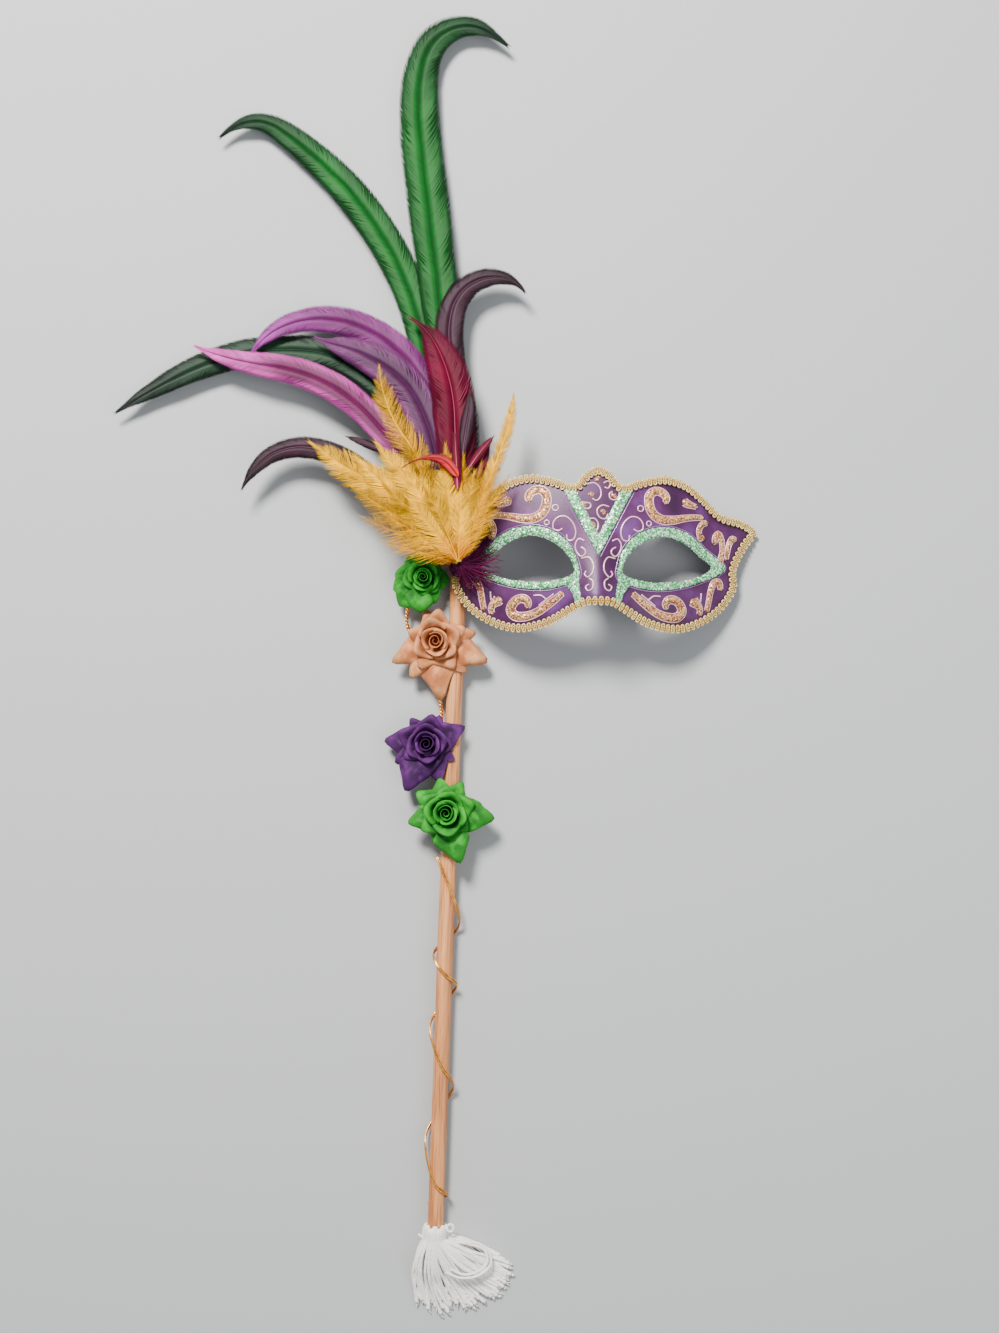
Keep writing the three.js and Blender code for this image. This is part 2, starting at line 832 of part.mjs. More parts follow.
function edgeBraid() {
  const ring = new THREE.Shape(maskOutline(0));
  ring.holes.push(new THREE.Path(maskOutline(braidWidth)));
  const band = slab(
    (x, y) => faceHeight(x, y) + gap,
    (x, y) => faceHeight(x, y) + gap + braidThickness,
  );
  return prism(ring).intersect(band);
}

function handleStick() {
  const geometry = new THREE.CylinderGeometry(handleRadius, handleRadius, handleLength, handleSides);
  geometry.translate(0, handleLength / 2, 0);
  return geometry;
}

// A clear space round the handle, for pieces that lie against it.
function handleSpace() {
  const radius = (handleRadius + gap) / Math.cos(Math.PI / handleSides);
  const geometry = new THREE.CylinderGeometry(radius, radius, handleLength + 2 * roseSize, handleSides);
  geometry.translate(0, handleLength / 2, handleAxisHeight);
  return solid(geometry);
}

// The space that the mask and its braid take, with the clearance, as seen from the part.
function maskSpace() {
  const space = slab(
    () => -maskDepth,
    (x, y) => faceHeight(x, y) + braidThickness + 2 * gap,
  );
  const found = prism(new THREE.Shape(maskOutline(-gap))).intersect(space);
  return found.rotate([0, 0, maskLean]).translate([maskAcross, maskAlong, 0]);
}

function wireWrap() {
  const under = handleRadius + gap + wireSlack + wireThickness / 2;
  const path = new THREE.CatmullRomCurve3(
    wireRows.map((row) => {
      const reach = row.reach === 0 ? under : Math.max(row.reach * wireReach, under);
      return new THREE.Vector3(row.run * wireRun, row.quarter, reach);
    }),
    false,
    "centripetal",
  );
  const middle = (share) => {
    const { x: run, y: quarter, z: reach } = path.getPoint(share);
    const turn = (quarter * Math.PI) / 2;
    return new THREE.Vector3(
      reach * Math.sin(turn),
      wireStart - run,
      handleAxisHeight + reach * Math.cos(turn),
    );
  };
  const axis = new THREE.Vector3(0, 1, 0);
  const nudge = 0.004;
  const rings = [];
  for (let step = 0; step <= wireSteps; step += 1) {
    const share = step / wireSteps;
    const p = middle(share);
    const ahead = middle(Math.min(share + nudge, 1));
    const along = ahead.sub(middle(Math.max(share - nudge, 0))).normalize();
    const out = new THREE.Vector3(p.x, 0, p.z - handleAxisHeight).normalize();
    const beside = new THREE.Vector3().crossVectors(along, out).normalize();
    if (beside.dot(axis) < 0) beside.negate();
    const ring = [];
    for (const [over, up] of [[-1, -1], [1, -1], [1, 1], [-1, 1]]) {
      const across = beside.clone().multiplyScalar((over * wirePairWidth) / 2);
      ring.push(p.clone().add(across).addScaledVector(out, (up * wireThickness) / 2));
    }
    rings.push(ring);
  }
  return loft(rings);
}

// Height of the plume's lowest layer at a place in the part's plan.
function plumeFloor(x, y) {
  const distance = Math.hypot(x - knotAcross, y - knotAlong);
  const fall = plumeFall * (1 - Math.exp(-((distance / plumeFallReach) ** 2)));
  const rise = plumeRise * Math.max(0, x) * Math.exp(-(((y - knotAlong) / plumeRiseReach) ** 2));
  return plumeHeight - fall + rise;
}

// The heading at a share of a feather's length.
function headingAt({ at, heading }, share) {
  for (let i = 1; i < at.length; i += 1) {
    if (share <= at[i]) {
      const part = (share - at[i - 1]) / (at[i] - at[i - 1]);
      return heading[i - 1] + part * (heading[i] - heading[i - 1]);
    }
  }
  return heading.at(-1);
}

// A vane's half width at a share of its length, as a share of its widest.
function halfWidthAt(share) {
  const after = vaneRows.findIndex((row) => row.at >= share);
  if (after <= 0) return vaneRows[0].half;
  const [low, high] = [vaneRows[after - 1], vaneRows[after]];
  return low.half + ((share - low.at) / (high.at - low.at)) * (high.half - low.half);
}

// Ways of cutting a blade into rings: rings at least, path points from ring to ring, how far rings
// crowd towards the tip, and the tip's size.
const bladeForm = { fewest: 5, fine: 4, crowding: 1.35, tip: 0.35, tipStart: 0.99 };

// A thin blade along a path that starts at the knot's edge, on its own layer of the plume.
function blade(row, length, width, thickness = vaneThickness, fewest = bladeForm.fewest) {
  const steps = Math.round(fewest + length / bladeStep);
  const start = headingAt(row, 0) * degree;
  let x = knotAcross - (knotRadius + gap) * Math.sin(start);
  let y = knotAlong + (knotRadius + gap) * Math.cos(start);
  const rings = [];
  const moves = steps * bladeForm.fine;
  const shareAt = (move) => 1 - (1 - move / moves) ** bladeForm.crowding;
  for (let move = 0; move <= moves; move += 1) {
    const share = shareAt(move);
    const heading = headingAt(row, share) * degree;
    if (move % bladeForm.fine === 0) {
      const half = Math.max(halfWidthAt(share) * (width / 2), quillWidth / 2);
      const tip = share > bladeForm.tipStart ? bladeForm.tip : 1;
      const edge = (across, lift) => {
        const [px, py] = [x - across * Math.cos(heading), y - across * Math.sin(heading)];
        const height = plumeFloor(px, py) + row.layer * layerPitch + thickness / 2;
        return new THREE.Vector3(px, py, height + lift);
      };
      const ridge = (thickness / 2) * tip;
      rings.push([edge(-half * tip, 0), edge(0, -ridge), edge(half * tip, 0), edge(0, ridge)]);
    }
    const run = move < moves ? (shareAt(move + 1) - share) * length : 0;
    x -= Math.sin(heading) * run;
    y += Math.cos(heading) * run;
  }
  return loft(rings);
}

const feather = (row) => blade(row, row.length * plumeLength, row.width * featherWidth);

// The fluffy mass over the quills: locks fused to a flat egg-shaped head.
function yellowBody() {
  const headHalfThickness = bodyThickness * bodyHeadShare;
  const middleX = knotAcross - bodyHeadAcross;
  const middleY = knotAlong + knotRadius + gap + bodyHeadAlong;
  const middleZ = plumeFloor(middleX, middleY) + bodyLayer * layerPitch + headHalfThickness;
  const head = new THREE.SphereGeometry(1, bodyHeadSides, bodyHeadSides / 2);
  head.scale(bodyHeadHalfWidth, bodyHeadHalfLength, headHalfThickness);
  head.rotateZ(bodyHeadTurn * degree);
  head.translate(middleX, middleY, middleZ);
  let body = solid(head);
  for (const { toward, length, width } of bodyLocks) {
    const row = { at: [0, 1], heading: [toward, toward], layer: bodyLayer };
    const lock = blade(row, length * bodyLength, width * bodyLockWidth, bodyThickness, bodyLockRings);
    body = body.add(lock);
  }
  return body;
}

// The dark tangle that binds the quills, cut clear of what it sits on.
function plumeKnot(cuts) {
  const foot = handleTop + gap;
  const top = plumeHeight + knotHeight;
  const heightOf = ({ up, down, drop }) => {
    if (up !== undefined) return foot + up * knotShoulder;
    return top - (down ?? 0) * knotShoulder - (drop ?? 0) * knotTopDrop;
  };
  const profile = knotRows.map((row) => new THREE.Vector2(row.radius * knotRadius, heightOf(row)));
  profile.unshift(new THREE.Vector2(0, foot));
  profile.push(new THREE.Vector2(0, top));
  const geometry = new THREE.LatheGeometry(profile, knotSides);
  geometry.rotateX(Math.PI / 2);
  let knot = solid(geometry).translate([knotAcross, knotAlong, 0]);
  for (const cut of cuts) knot = knot.subtract(cut);
  return knot;
}

// A thin closed sheet over a grid of places, with its thickness below.
function sheet(place, across, along, thickness) {
  const top = [];
  const bottom = [];
  const nudge = 1e-3;
  for (let i = 0; i <= across; i += 1) {
    for (let j = 0; j <= along; j += 1) {
      const [u, v] = [-1 + (2 * i) / across, j / along];
      const p = place(u, v);
      const du = place(u + nudge, v).sub(place(u - nudge, v));
      const dv = place(u, v + nudge).sub(place(u, v - nudge));
      const normal = du.cross(dv).normalize();
      top.push(p);
      bottom.push(p.clone().addScaledVector(normal, -thickness));
    }
  }
  return thickGrid(top, bottom, across, along);
}

// The place that a row of roses or wires names, at a height.
const beside = ({ across, below }, height) =>
  new THREE.Vector3(across * roseSize, knotAlong - below * roseRun, height);

// A paper rose: a stub, rings of petals round it and a bud.
function rose(row, cuts) {
  const radius = row.radius * roseSize;
  const height = row.height * roseHeight;
  const profile = stubRows.map((p) => new THREE.Vector2(p.radius * radius, p.height * height));
  const stub = new THREE.LatheGeometry(profile, stubSides);
  stub.rotateX(Math.PI / 2);
  let body = solid(stub);
  const form = petalForm;
  petalRings.forEach((ring, level) => {
    for (let petal = 0; petal < ring.petals; petal += 1) {
      const middle = (row.turn + level * form.ringTurn + (petal * 360) / ring.petals) * degree;
      const root = radius * ring.root;
      const reach = radius * ring.reach * (1 - form.shorter * ((petal * 2 + level) % 3));
      const place = (u, v) => {
        const opening = form.rootSpread + form.spreadGrowth * v - form.spreadClosing * v ** 3;
        const angle = middle + ring.spread * degree * u * opening;
        const out = root + (reach - root) * v * (1 - form.cornerBack * u ** 2);
        const rise = ring.rootUp + (ring.lipUp - ring.rootUp) * v ** 2;
        const belly = 4 * v * (1 - v) * (ring.bellyUp - (ring.rootUp + ring.lipUp) / 2);
        const up = rise + belly * form.bellyFullness + form.cornerCup * u ** 2 * v;
        return new THREE.Vector3(out * Math.cos(angle), out * Math.sin(angle), height * up);
      };
      body = body.add(sheet(place, 2, ring.bends, petalThickness));
    }
  });
  body = body.translate(beside(row, row.base * roseHeight).toArray());
  for (const cut of cuts) body = body.subtract(cut);
  return body;
}

// A twisted wire from one rose's stub to the next, through a few places.
function stemWire(places) {
  const points = places.map((row) => beside(row, row.up * roseHeight));
  const path = new THREE.CatmullRomCurve3(points, false, "centripetal");
  const section = new THREE.Shape();
  section.absarc(0, 0, stemThickness / 2, 0, 2 * Math.PI, false);
  return new THREE.ExtrudeGeometry(section, {
    steps: stemSteps,
    curveSegments: stemSides / 2,
    bevelEnabled: false,
    extrudePath: path,
  });
}

// One lock of the tassel: it leaves the head at the handle's height and comes down to the surface.
function tasselLock(row) {
  const rings = [];
  let x = row.side * tasselHeadRadius * lockForm.leaveShare;
  let y = lockStart - tasselHeadBelow;
  for (let step = 0; step <= lockSteps; step += 1) {
    const share = step / lockSteps;
    const heading = (row.heading + row.bend * share) * degree;
    const fullness = lockForm.root + lockForm.swelling * share - lockForm.closing * share ** 3;
    const radius = lockRadius * fullness;
    const fallen = Math.min(1, share * lockForm.fall);
    const height = THREE.MathUtils.lerp(handleAxisHeight, radius * lockForm.pressed, fallen);
    const ring = [];
    for (let side = 0; side < lockSides; side += 1) {
      const angle = (side * 2 * Math.PI) / lockSides;
      const across = Math.cos(angle) * radius;
      ring.push(
        new THREE.Vector3(
          x + Math.cos(heading) * across,
          y + Math.sin(heading) * across,
          height + Math.sin(angle) * radius,
        ),
      );
    }
    rings.push(ring);
    x += (Math.sin(heading) * row.length * lockLength) / lockSteps;
    y -= (Math.cos(heading) * row.length * lockLength) / lockSteps;
  }
  return loft(rings);
}

// The tassel: a sleeve on the handle's end with locks fused to it, flat where it lies.
function tassel() {
  const inner = (handleRadius + gap) / Math.cos(Math.PI / tasselHeadSides);
  const wallProfile = [
    new THREE.Vector2(0, -tasselHeadBelow),
    new THREE.Vector2(tasselHeadRadius * tasselFootShare, -tasselHeadBelow),
    new THREE.Vector2(tasselHeadRadius, 0),
    new THREE.Vector2(tasselHeadRadius * tasselTopShare, tasselTop - tasselRound),
    new THREE.Vector2(inner + tasselWall, tasselTop),
    new THREE.Vector2(inner, tasselTop),
    new THREE.Vector2(inner, -gap),
    new THREE.Vector2(0, -gap),
  ];
  const head = new THREE.LatheGeometry(wallProfile, tasselHeadSides);
  let body = solid(head).translate([0, 0, handleAxisHeight]);
  for (const row of lockRows) body = body.add(tasselLock(row));
  const reach = tasselHeadLength + lockLength;
  const ground = new THREE.BoxGeometry(4 * reach, 4 * reach, reach);
  ground.translate(0, 0, -reach / 2);
  return body.subtract(solid(ground));
}

const paint = (color, roughness, metalness = 0) =>
  new THREE.MeshStandardMaterial({ color, roughness, metalness });
const finishes = {
  shell: paint(0x7a5690, 0.38),
  glitter: paint(0xbfe0c2, 0.45, 0.2),
  braid: paint(0xdcc88e, 0.5, 0.3),
  wood: paint(0xe0b088, 0.6),
  wire: paint(0xd9a765, 0.3, 0.9),
  plum: paint(0x45303a, 0.8),
  yellow: paint(0xf0b32a, 0.8),
  tassel: paint(0xf1ebe2, 0.85),
};

const part = new THREE.Group();
function put(name, form, material, parent = part) {
  const geometry = form.isBufferGeometry ? form : geometryOf(form);
  const mesh = new THREE.Mesh(geometry, material);
  mesh.name = name;
  parent.add(mesh);
  return mesh;
}

const mask = new THREE.Group();
mask.position.set(maskAcross, maskAlong, 0);
mask.rotation.z = leanAngle;
part.add(mask);
put("mask_shell", maskShell(), finishes.shell, mask);
put("eye_rim_left", eyeRim(-1), finishes.glitter, mask);
put("eye_rim_right", eyeRim(1), finishes.glitter, mask);
put("vee_band", veeBand(), finishes.glitter, mask);
put("edge_braid", edgeBraid(), finishes.braid, mask);

put("handle_stick", handleStick(), finishes.wood).position.z = handleAxisHeight;
put("wire_wrap", wireWrap(), finishes.wire);

const handleCut = handleSpace();
const maskCut = maskSpace();
put("plume_knot", plumeKnot([handleCut, maskCut]), finishes.plum);
for (const row of featherRows) {
  put(row.name, feather(row), paint(row.colour, 0.6));
}
put("plume_yellow_body", yellowBody(), finishes.yellow);
for (const row of roseRows) {
  put(row.name, rose(row, [handleCut, maskCut]), paint(row.colour, 0.75));
}
for (const row of stemRows) {
  put(row.name, stemWire(row.places), finishes.wire);
}
put("tassel", tassel(), finishes.tassel);

export default part;
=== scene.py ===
import math
import random

import bpy
import numpy as np
from mathutils import Matrix, Vector
from mathutils.geometry import delaunay_2d_cdt


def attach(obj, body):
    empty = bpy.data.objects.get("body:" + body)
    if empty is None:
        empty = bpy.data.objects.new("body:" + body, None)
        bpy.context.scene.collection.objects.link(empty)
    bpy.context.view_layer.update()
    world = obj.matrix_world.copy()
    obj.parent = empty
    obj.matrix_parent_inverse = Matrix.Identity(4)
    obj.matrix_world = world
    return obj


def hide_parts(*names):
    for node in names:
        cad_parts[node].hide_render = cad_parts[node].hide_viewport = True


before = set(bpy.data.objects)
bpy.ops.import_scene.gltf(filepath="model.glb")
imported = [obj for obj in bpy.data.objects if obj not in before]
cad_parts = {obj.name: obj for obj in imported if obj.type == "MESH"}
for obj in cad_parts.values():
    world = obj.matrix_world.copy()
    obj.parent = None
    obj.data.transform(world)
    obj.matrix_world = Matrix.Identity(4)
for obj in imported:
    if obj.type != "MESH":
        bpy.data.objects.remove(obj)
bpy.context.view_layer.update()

# Lengths below are millimetres unless a name says otherwise. Meshes are turned to metres when built.
mm = 0.001
degree = math.pi / 180

# Camera, set to the photo's view from straight above
cameraPlace = {"across": 26.3, "along": 344.9, "height": 1000, "turn": 2.03, "halfTangent": 0.3999}


def addCamera(place):
    data = bpy.data.cameras.new("camera")
    data.sensor_fit = "VERTICAL"
    data.angle = 2 * math.atan(place["halfTangent"])
    camera = bpy.data.objects.new("camera", data)
    bpy.context.scene.collection.objects.link(camera)
    camera.location = (place["across"] * mm, place["along"] * mm, place["height"] * mm)
    camera.rotation_euler = (0, 0, place["turn"] * degree)
    bpy.context.scene.camera = camera


addCamera(cameraPlace)
print("camera placed")


# Small tools for meshes
def makePiece(name, points, faces, material, values=None, smooth=True):
    mesh = bpy.data.meshes.new(name)
    mesh.from_pydata((np.asarray(points) * mm).tolist(), [], faces)
    mesh.materials.append(material)
    for key, numbers in (values or {}).items():
        column = mesh.attributes.new(key, "FLOAT", "POINT")
        column.data.foreach_set("value", np.asarray(numbers, np.float32))
    mesh.polygons.foreach_set("use_smooth", [smooth] * len(mesh.polygons))
    mesh.update()
    piece = bpy.data.objects.new(name, mesh)
    bpy.context.scene.collection.objects.link(piece)
    return piece


def dress(piece, slot, *nodes):
    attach(piece, "root")
    if nodes:
        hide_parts(*nodes)


class Heap:  # gathers many small closed bodies into one mesh
    def __init__(self):
        self.points, self.faces, self.values, self.count = [], [], {}, 0

    def add(self, points, faces, **values):
        points = np.asarray(points, float)
        self.faces += [tuple(i + self.count for i in face) for face in faces]
        self.points.append(points)
        for key, number in values.items():
            column = np.broadcast_to(np.asarray(number, float), len(points))
            self.values.setdefault(key, []).append(column)
        self.count += len(points)

    def build(self, name, material, smooth=True):
        values = {key: np.concatenate(parts) for key, parts in self.values.items()}
        return makePiece(name, np.concatenate(self.points), self.faces, material, values, smooth)


def smoothPath(rows, perSpan, closed=False):  # centripetal curve through points
    p = np.asarray(rows, float)
    count = len(p)
    found = []
    for i in range(count if closed else count - 1):
        b, c = p[i], p[(i + 1) % count]
        a = p[i - 1] if closed or i > 0 else 2 * p[0] - p[1]
        d = p[(i + 2) % count] if closed or i + 2 < count else 2 * p[-1] - p[-2]
        steps = [max(np.sum((v - u) ** 2) ** 0.25, 1e-4) for u, v in ((a, b), (b, c), (c, d))]
        s0, s1, s2 = steps
        start = ((b - a) / s0 - (c - a) / (s0 + s1) + (c - b) / s1) * s1
        end = ((c - b) / s1 - (d - b) / (s1 + s2) + (d - c) / s2) * s1
        for t in np.linspace(0, 1, perSpan, endpoint=False):
            two, three = t * t, t * t * t
            point = (2 * three - 3 * two + 1) * b + (three - 2 * two + t) * start
            found.append(point + (3 * two - 2 * three) * c + (three - two) * end)
    if not closed:
        found.append(p[-1])
    return np.array(found)


def evenPath(path, spacing, closed=False):  # the same path with even steps
    p = np.vstack([path, path[:1]]) if closed else np.asarray(path)
    runs = np.concatenate([[0], np.cumsum(np.linalg.norm(np.diff(p, axis=0), axis=1))])
    count = max(2, int(round(runs[-1] / spacing)))
    at = np.linspace(0, runs[-1], count + 1)
    found = np.stack([np.interp(at, runs, p[:, k]) for k in range(p.shape[1])], axis=1)
    return found[:-1] if closed else found


def unitRows(rows):  # each row as a direction of length one
    return rows / np.linalg.norm(rows, axis=1)[:, None]


def loopAlong(loop):  # the way along a closed line at each of its points
    return np.roll(loop, -1, 0) - np.roll(loop, 1, 0)


def tube(path, radius, sides=8, lobes=0, lobeDepth=0.0, twist=0.0, closed=False, flat=1.0):
    path = np.asarray(path, float)
    count = len(path)
    radius = np.broadcast_to(np.asarray(radius, float), count)
    along = loopAlong(path)
    if not closed:
        along[0], along[-1] = path[1] - path[0], path[-1] - path[-2]
    along /= np.linalg.norm(along, axis=1)[:, None] + 1e-12
    up = np.array([0.0, 0.0, 1.0])
    if abs(along[0] @ up) > 0.9:
        up = np.array([1.0, 0.0, 0.0])
    normal = up - along[0] * (along[0] @ up)
    points, run = [], 0.0
    angles = np.arange(sides) * 2 * math.pi / sides
    for i in range(count):
        normal = normal - along[i] * (along[i] @ normal)
        normal /= np.linalg.norm(normal) + 1e-12
        side = np.cross(along[i], normal)
        if i:
            run += np.linalg.norm(path[i] - path[i - 1])
        reach = radius[i] * (1 + lobeDepth * np.cos(lobes * angles - twist * run))
        ring = path[i] + np.outer(reach * np.cos(angles), side)
        points.append(ring + np.outer(reach * np.sin(angles) * flat, normal))
    faces = []
    for i in range(count if closed else count - 1):
        j = (i + 1) % count
        for k in range(sides):
            m = (k + 1) % sides
            faces.append((i * sides + k, i * sides + m, j * sides + m, j * sides + k))
    if not closed:
        faces.append(tuple(range(sides))[::-1])
        faces.append(tuple((count - 1) * sides + k for k in range(sides)))
    return np.concatenate(points), faces


def thickGrid(top, bottom, acrossCount, alongCount):  # a closed sheet between two grids of points
    def at(i, j):
        return i * alongCount + j
    faces = []
    under = acrossCount * alongCount
    for i in range(acrossCount - 1):
        for j in range(alongCount - 1):
            a, b, c, d = at(i, j), at(i + 1, j), at(i + 1, j + 1), at(i, j + 1)
            faces.append((a, b, c, d))
            faces.append((under + d, under + c, under + b, under + a))
    edge = [at(i, 0) for i in range(acrossCount)]
    edge += [at(acrossCount - 1, j) for j in range(1, alongCount)]
    edge += [at(i, alongCount - 1) for i in range(acrossCount - 2, -1, -1)]
    edge += [at(0, j) for j in range(alongCount - 2, 0, -1)]
    for a, b in zip(edge, edge[1:] + edge[:1]):
        faces.append((b, a, under + a, under + b))
    return np.concatenate([top, bottom]), faces


# Geometry Nodes that set a unit on every place, with its own turn and size
def addSocket(tree, name, kind, inOut="INPUT"):
    return tree.interface.new_socket(name=name, in_out=inOut, socket_type=kind)


def joinNodes(tree, joins):  # each join: a node, its output, the next node and its input
    for first, out, second, into in joins:
        tree.links.new(first.outputs[out], second.inputs[into])


def repeatTree():
    tree = bpy.data.node_groups.new("repeatUnit", "GeometryNodeTree")
    addSocket(tree, "Places", "NodeSocketGeometry")
    addSocket(tree, "Unit", "NodeSocketObject")
    addSocket(tree, "Finish", "NodeSocketMaterial")
    addSocket(tree, "Geometry", "NodeSocketGeometry", "OUTPUT")
    make = tree.nodes.new
    given, result = make("NodeGroupInput"), make("NodeGroupOutput")
    unit, spread = make("GeometryNodeObjectInfo"), make("GeometryNodeInstanceOnPoints")
    turn, size = make("GeometryNodeInputNamedAttribute"), make("GeometryNodeInputNamedAttribute")
    for node, key in ((turn, "turn"), (size, "size")):
        node.data_type = "FLOAT_VECTOR"
        node.inputs["Name"].default_value = key
    real, finish = make("GeometryNodeRealizeInstances"), make("GeometryNodeSetMaterial")
    joinNodes(tree, [
        (given, "Places", spread, "Points"), (given, "Unit", unit, "Object"),
        (unit, "Geometry", spread, "Instance"), (turn, "Attribute", spread, "Rotation"),
        (size, "Attribute", spread, "Scale"), (spread, "Instances", real, "Geometry"),
        (real, "Geometry", finish, "Geometry"), (given, "Finish", finish, "Material"),
        (finish, "Geometry", result, "Geometry"),
    ])
    return tree


def scatterTree():  # flakes strewn over a surface, each turned at random
    tree = bpy.data.node_groups.new("strewFlakes", "GeometryNodeTree")
    addSocket(tree, "Surface", "NodeSocketGeometry")
    addSocket(tree, "Flake", "NodeSocketObject")
    addSocket(tree, "Density", "NodeSocketFloat")
    addSocket(tree, "Tilt", "NodeSocketFloat")
    addSocket(tree, "Seed", "NodeSocketInt")
    addSocket(tree, "Finish", "NodeSocketMaterial")
    addSocket(tree, "Geometry", "NodeSocketGeometry", "OUTPUT")
    make = tree.nodes.new
    given, result = make("NodeGroupInput"), make("NodeGroupOutput")
    strew, unit = make("GeometryNodeDistributePointsOnFaces"), make("GeometryNodeObjectInfo")
    spread, tilt = make("GeometryNodeInstanceOnPoints"), make("FunctionNodeRandomValue")
    shade, keep = make("FunctionNodeRandomValue"), make("GeometryNodeStoreNamedAttribute")
    turn, lean = make("FunctionNodeRotateRotation"), make("ShaderNodeVectorMath")
    real, finish = make("GeometryNodeRealizeInstances"), make("GeometryNodeSetMaterial")
    tilt.data_type, shade.data_type = "FLOAT_VECTOR", "FLOAT"
    tilt.inputs["Min"].default_value = (-1, -1, -3)
    tilt.inputs["Max"].default_value = (1, 1, 3)
    lean.operation = "SCALE"
    keep.data_type, keep.domain = "FLOAT", "INSTANCE"
    keep.inputs["Name"].default_value = "shade"
    turn.rotation_space = "LOCAL"
    joinNodes(tree, [
        (given, "Surface", strew, "Mesh"), (given, "Density", strew, "Density"),
        (given, "Seed", strew, "Seed"), (given, "Seed", tilt, "Seed"), (given, "Seed", shade, "Seed"),
        (given, "Flake", unit, "Object"), (strew, "Points", spread, "Points"),
        (unit, "Geometry", spread, "Instance"), (tilt, 0, lean, 0), (given, "Tilt", lean, "Scale"),
        (strew, "Rotation", turn, "Rotation"), (lean, "Vector", turn, "Rotate By"),
        (turn, "Rotation", spread, "Rotation"), (spread, "Instances", keep, "Geometry"),
        (shade, 1, keep, "Value"), (keep, "Geometry", real, "Geometry"),
        (real, "Geometry", finish, "Geometry"), (given, "Finish", finish, "Material"),
        (finish, "Geometry", result, "Geometry"),
    ])
    return tree


repeatUnit = repeatTree()
strewFlakes = scatterTree()


def runTree(base, tree, **inputs):  # the tree's result as a plain mesh, the modifier gone with its base
    modifier = base.modifiers.new("nodes", "NODES")
    modifier.node_group = tree
    keys = {s.name: s.identifier for s in tree.interface.items_tree if s.in_out == "INPUT"}
    for name, value in inputs.items():
        modifier[keys[name]] = value
    bpy.context.view_layer.update()
    shown = base.evaluated_get(bpy.context.evaluated_depsgraph_get())
    mesh = bpy.data.meshes.new_from_object(shown)
    base.modifiers.remove(modifier)
    return mesh


def repeatAt(places, turns, sizes, unit, material, values=None):
    base = makePiece("places", places, [], material, values)
    for key, rows in (("turn", turns), ("size", sizes)):
        column = base.data.attributes.new(key, "FLOAT_VECTOR", "POINT")
        column.data.foreach_set("vector", np.asarray(rows, np.float32).ravel())
    mesh = runTree(base, repeatUnit, Unit=unit, Finish=material)
    bpy.data.objects.remove(base)
    return mesh


def arraysOf(mesh, *keys):  # points in millimetres, faces and named values of a mesh
    points = np.zeros(len(mesh.vertices) * 3, np.float32)
    mesh.vertices.foreach_get("co", points)
    faces = [tuple(face.vertices) for face in mesh.polygons]
    columns = []
    for key in keys:
        column = np.zeros(len(mesh.vertices), np.float32)
        mesh.attributes[key].data.foreach_get("value", column)
        columns.append(column.astype(float))
    return points.reshape(-1, 3).astype(float) / mm, faces, columns


# Materials
def newFinish(name, color, roughness, metallic=0.0, **sockets):
    material = bpy.data.materials.new(name)
    material.use_nodes = True
    nodes, links = material.node_tree.nodes, material.node_tree.links
    shader = nodes["Principled BSDF"]
    shader.inputs["Base Color"].default_value = (*color, 1)
    shader.inputs["Roughness"].default_value = roughness
    shader.inputs["Metallic"].default_value = metallic
    for key, value in sockets.items():
        shader.inputs[key.replace("_", " ")].default_value = value
    return material, nodes, links, shader


def linear(*values):  # a colour as seen, 0 to 255, as light
    return tuple(((v / 255 + 0.055) / 1.055) ** 2.4 if v > 10 else v / 3294 for v in values)


def noiseNode(nodes, links, scale, detail=3.0, stretch=(1, 1, 1), roughness=0.5):
    place, mapping = nodes.new("ShaderNodeTexCoord"), nodes.new("ShaderNodeMapping")
    noise = nodes.new("ShaderNodeTexNoise")
    mapping.inputs["Scale"].default_value = stretch
    noise.inputs["Scale"].default_value = scale
    noise.inputs["Detail"].default_value = detail
    noise.inputs["Roughness"].default_value = roughness
    links.new(place.outputs["Object"], mapping.inputs["Vector"])
    links.new(mapping.outputs["Vector"], noise.inputs["Vector"])
    return noise


def rampNode(nodes, links, source, stops):
    ramp = nodes.new("ShaderNodeValToRGB")
    while len(ramp.color_ramp.elements) < len(stops):
        ramp.color_ramp.elements.new(0.5)
    for element, (place, color) in zip(ramp.color_ramp.elements, stops):
        element.position = place
        element.color = (*color, 1)
    links.new(source, ramp.inputs["Fac"])
    return ramp


def bumpNode(nodes, links, source, shader, strength, distance):
    bump = nodes.new("ShaderNodeBump")
    bump.inputs["Strength"].default_value = strength
    bump.inputs["Distance"].default_value = distance
    links.new(source, bump.inputs["Height"])
    links.new(bump.outputs["Normal"], shader.inputs["Normal"])
    return bump


def mixNode(nodes, links, kind, factor, first, second):
    mix = nodes.new("ShaderNodeMix")
    mix.data_type, mix.blend_type = "RGBA", kind
    for key, value in (("Factor", factor), ("A", first), ("B", second)):
        socket = mix.inputs[key]
        if isinstance(value, bpy.types.NodeSocket):
            links.new(value, socket)
        else:
            socket.default_value = value if isinstance(value, float) else (*value, 1)
    return mix.outputs["Result"]


def valueNode(nodes, key):
    node = nodes.new("ShaderNodeAttribute")
    node.attribute_name = key
    return node.outputs["Fac"]


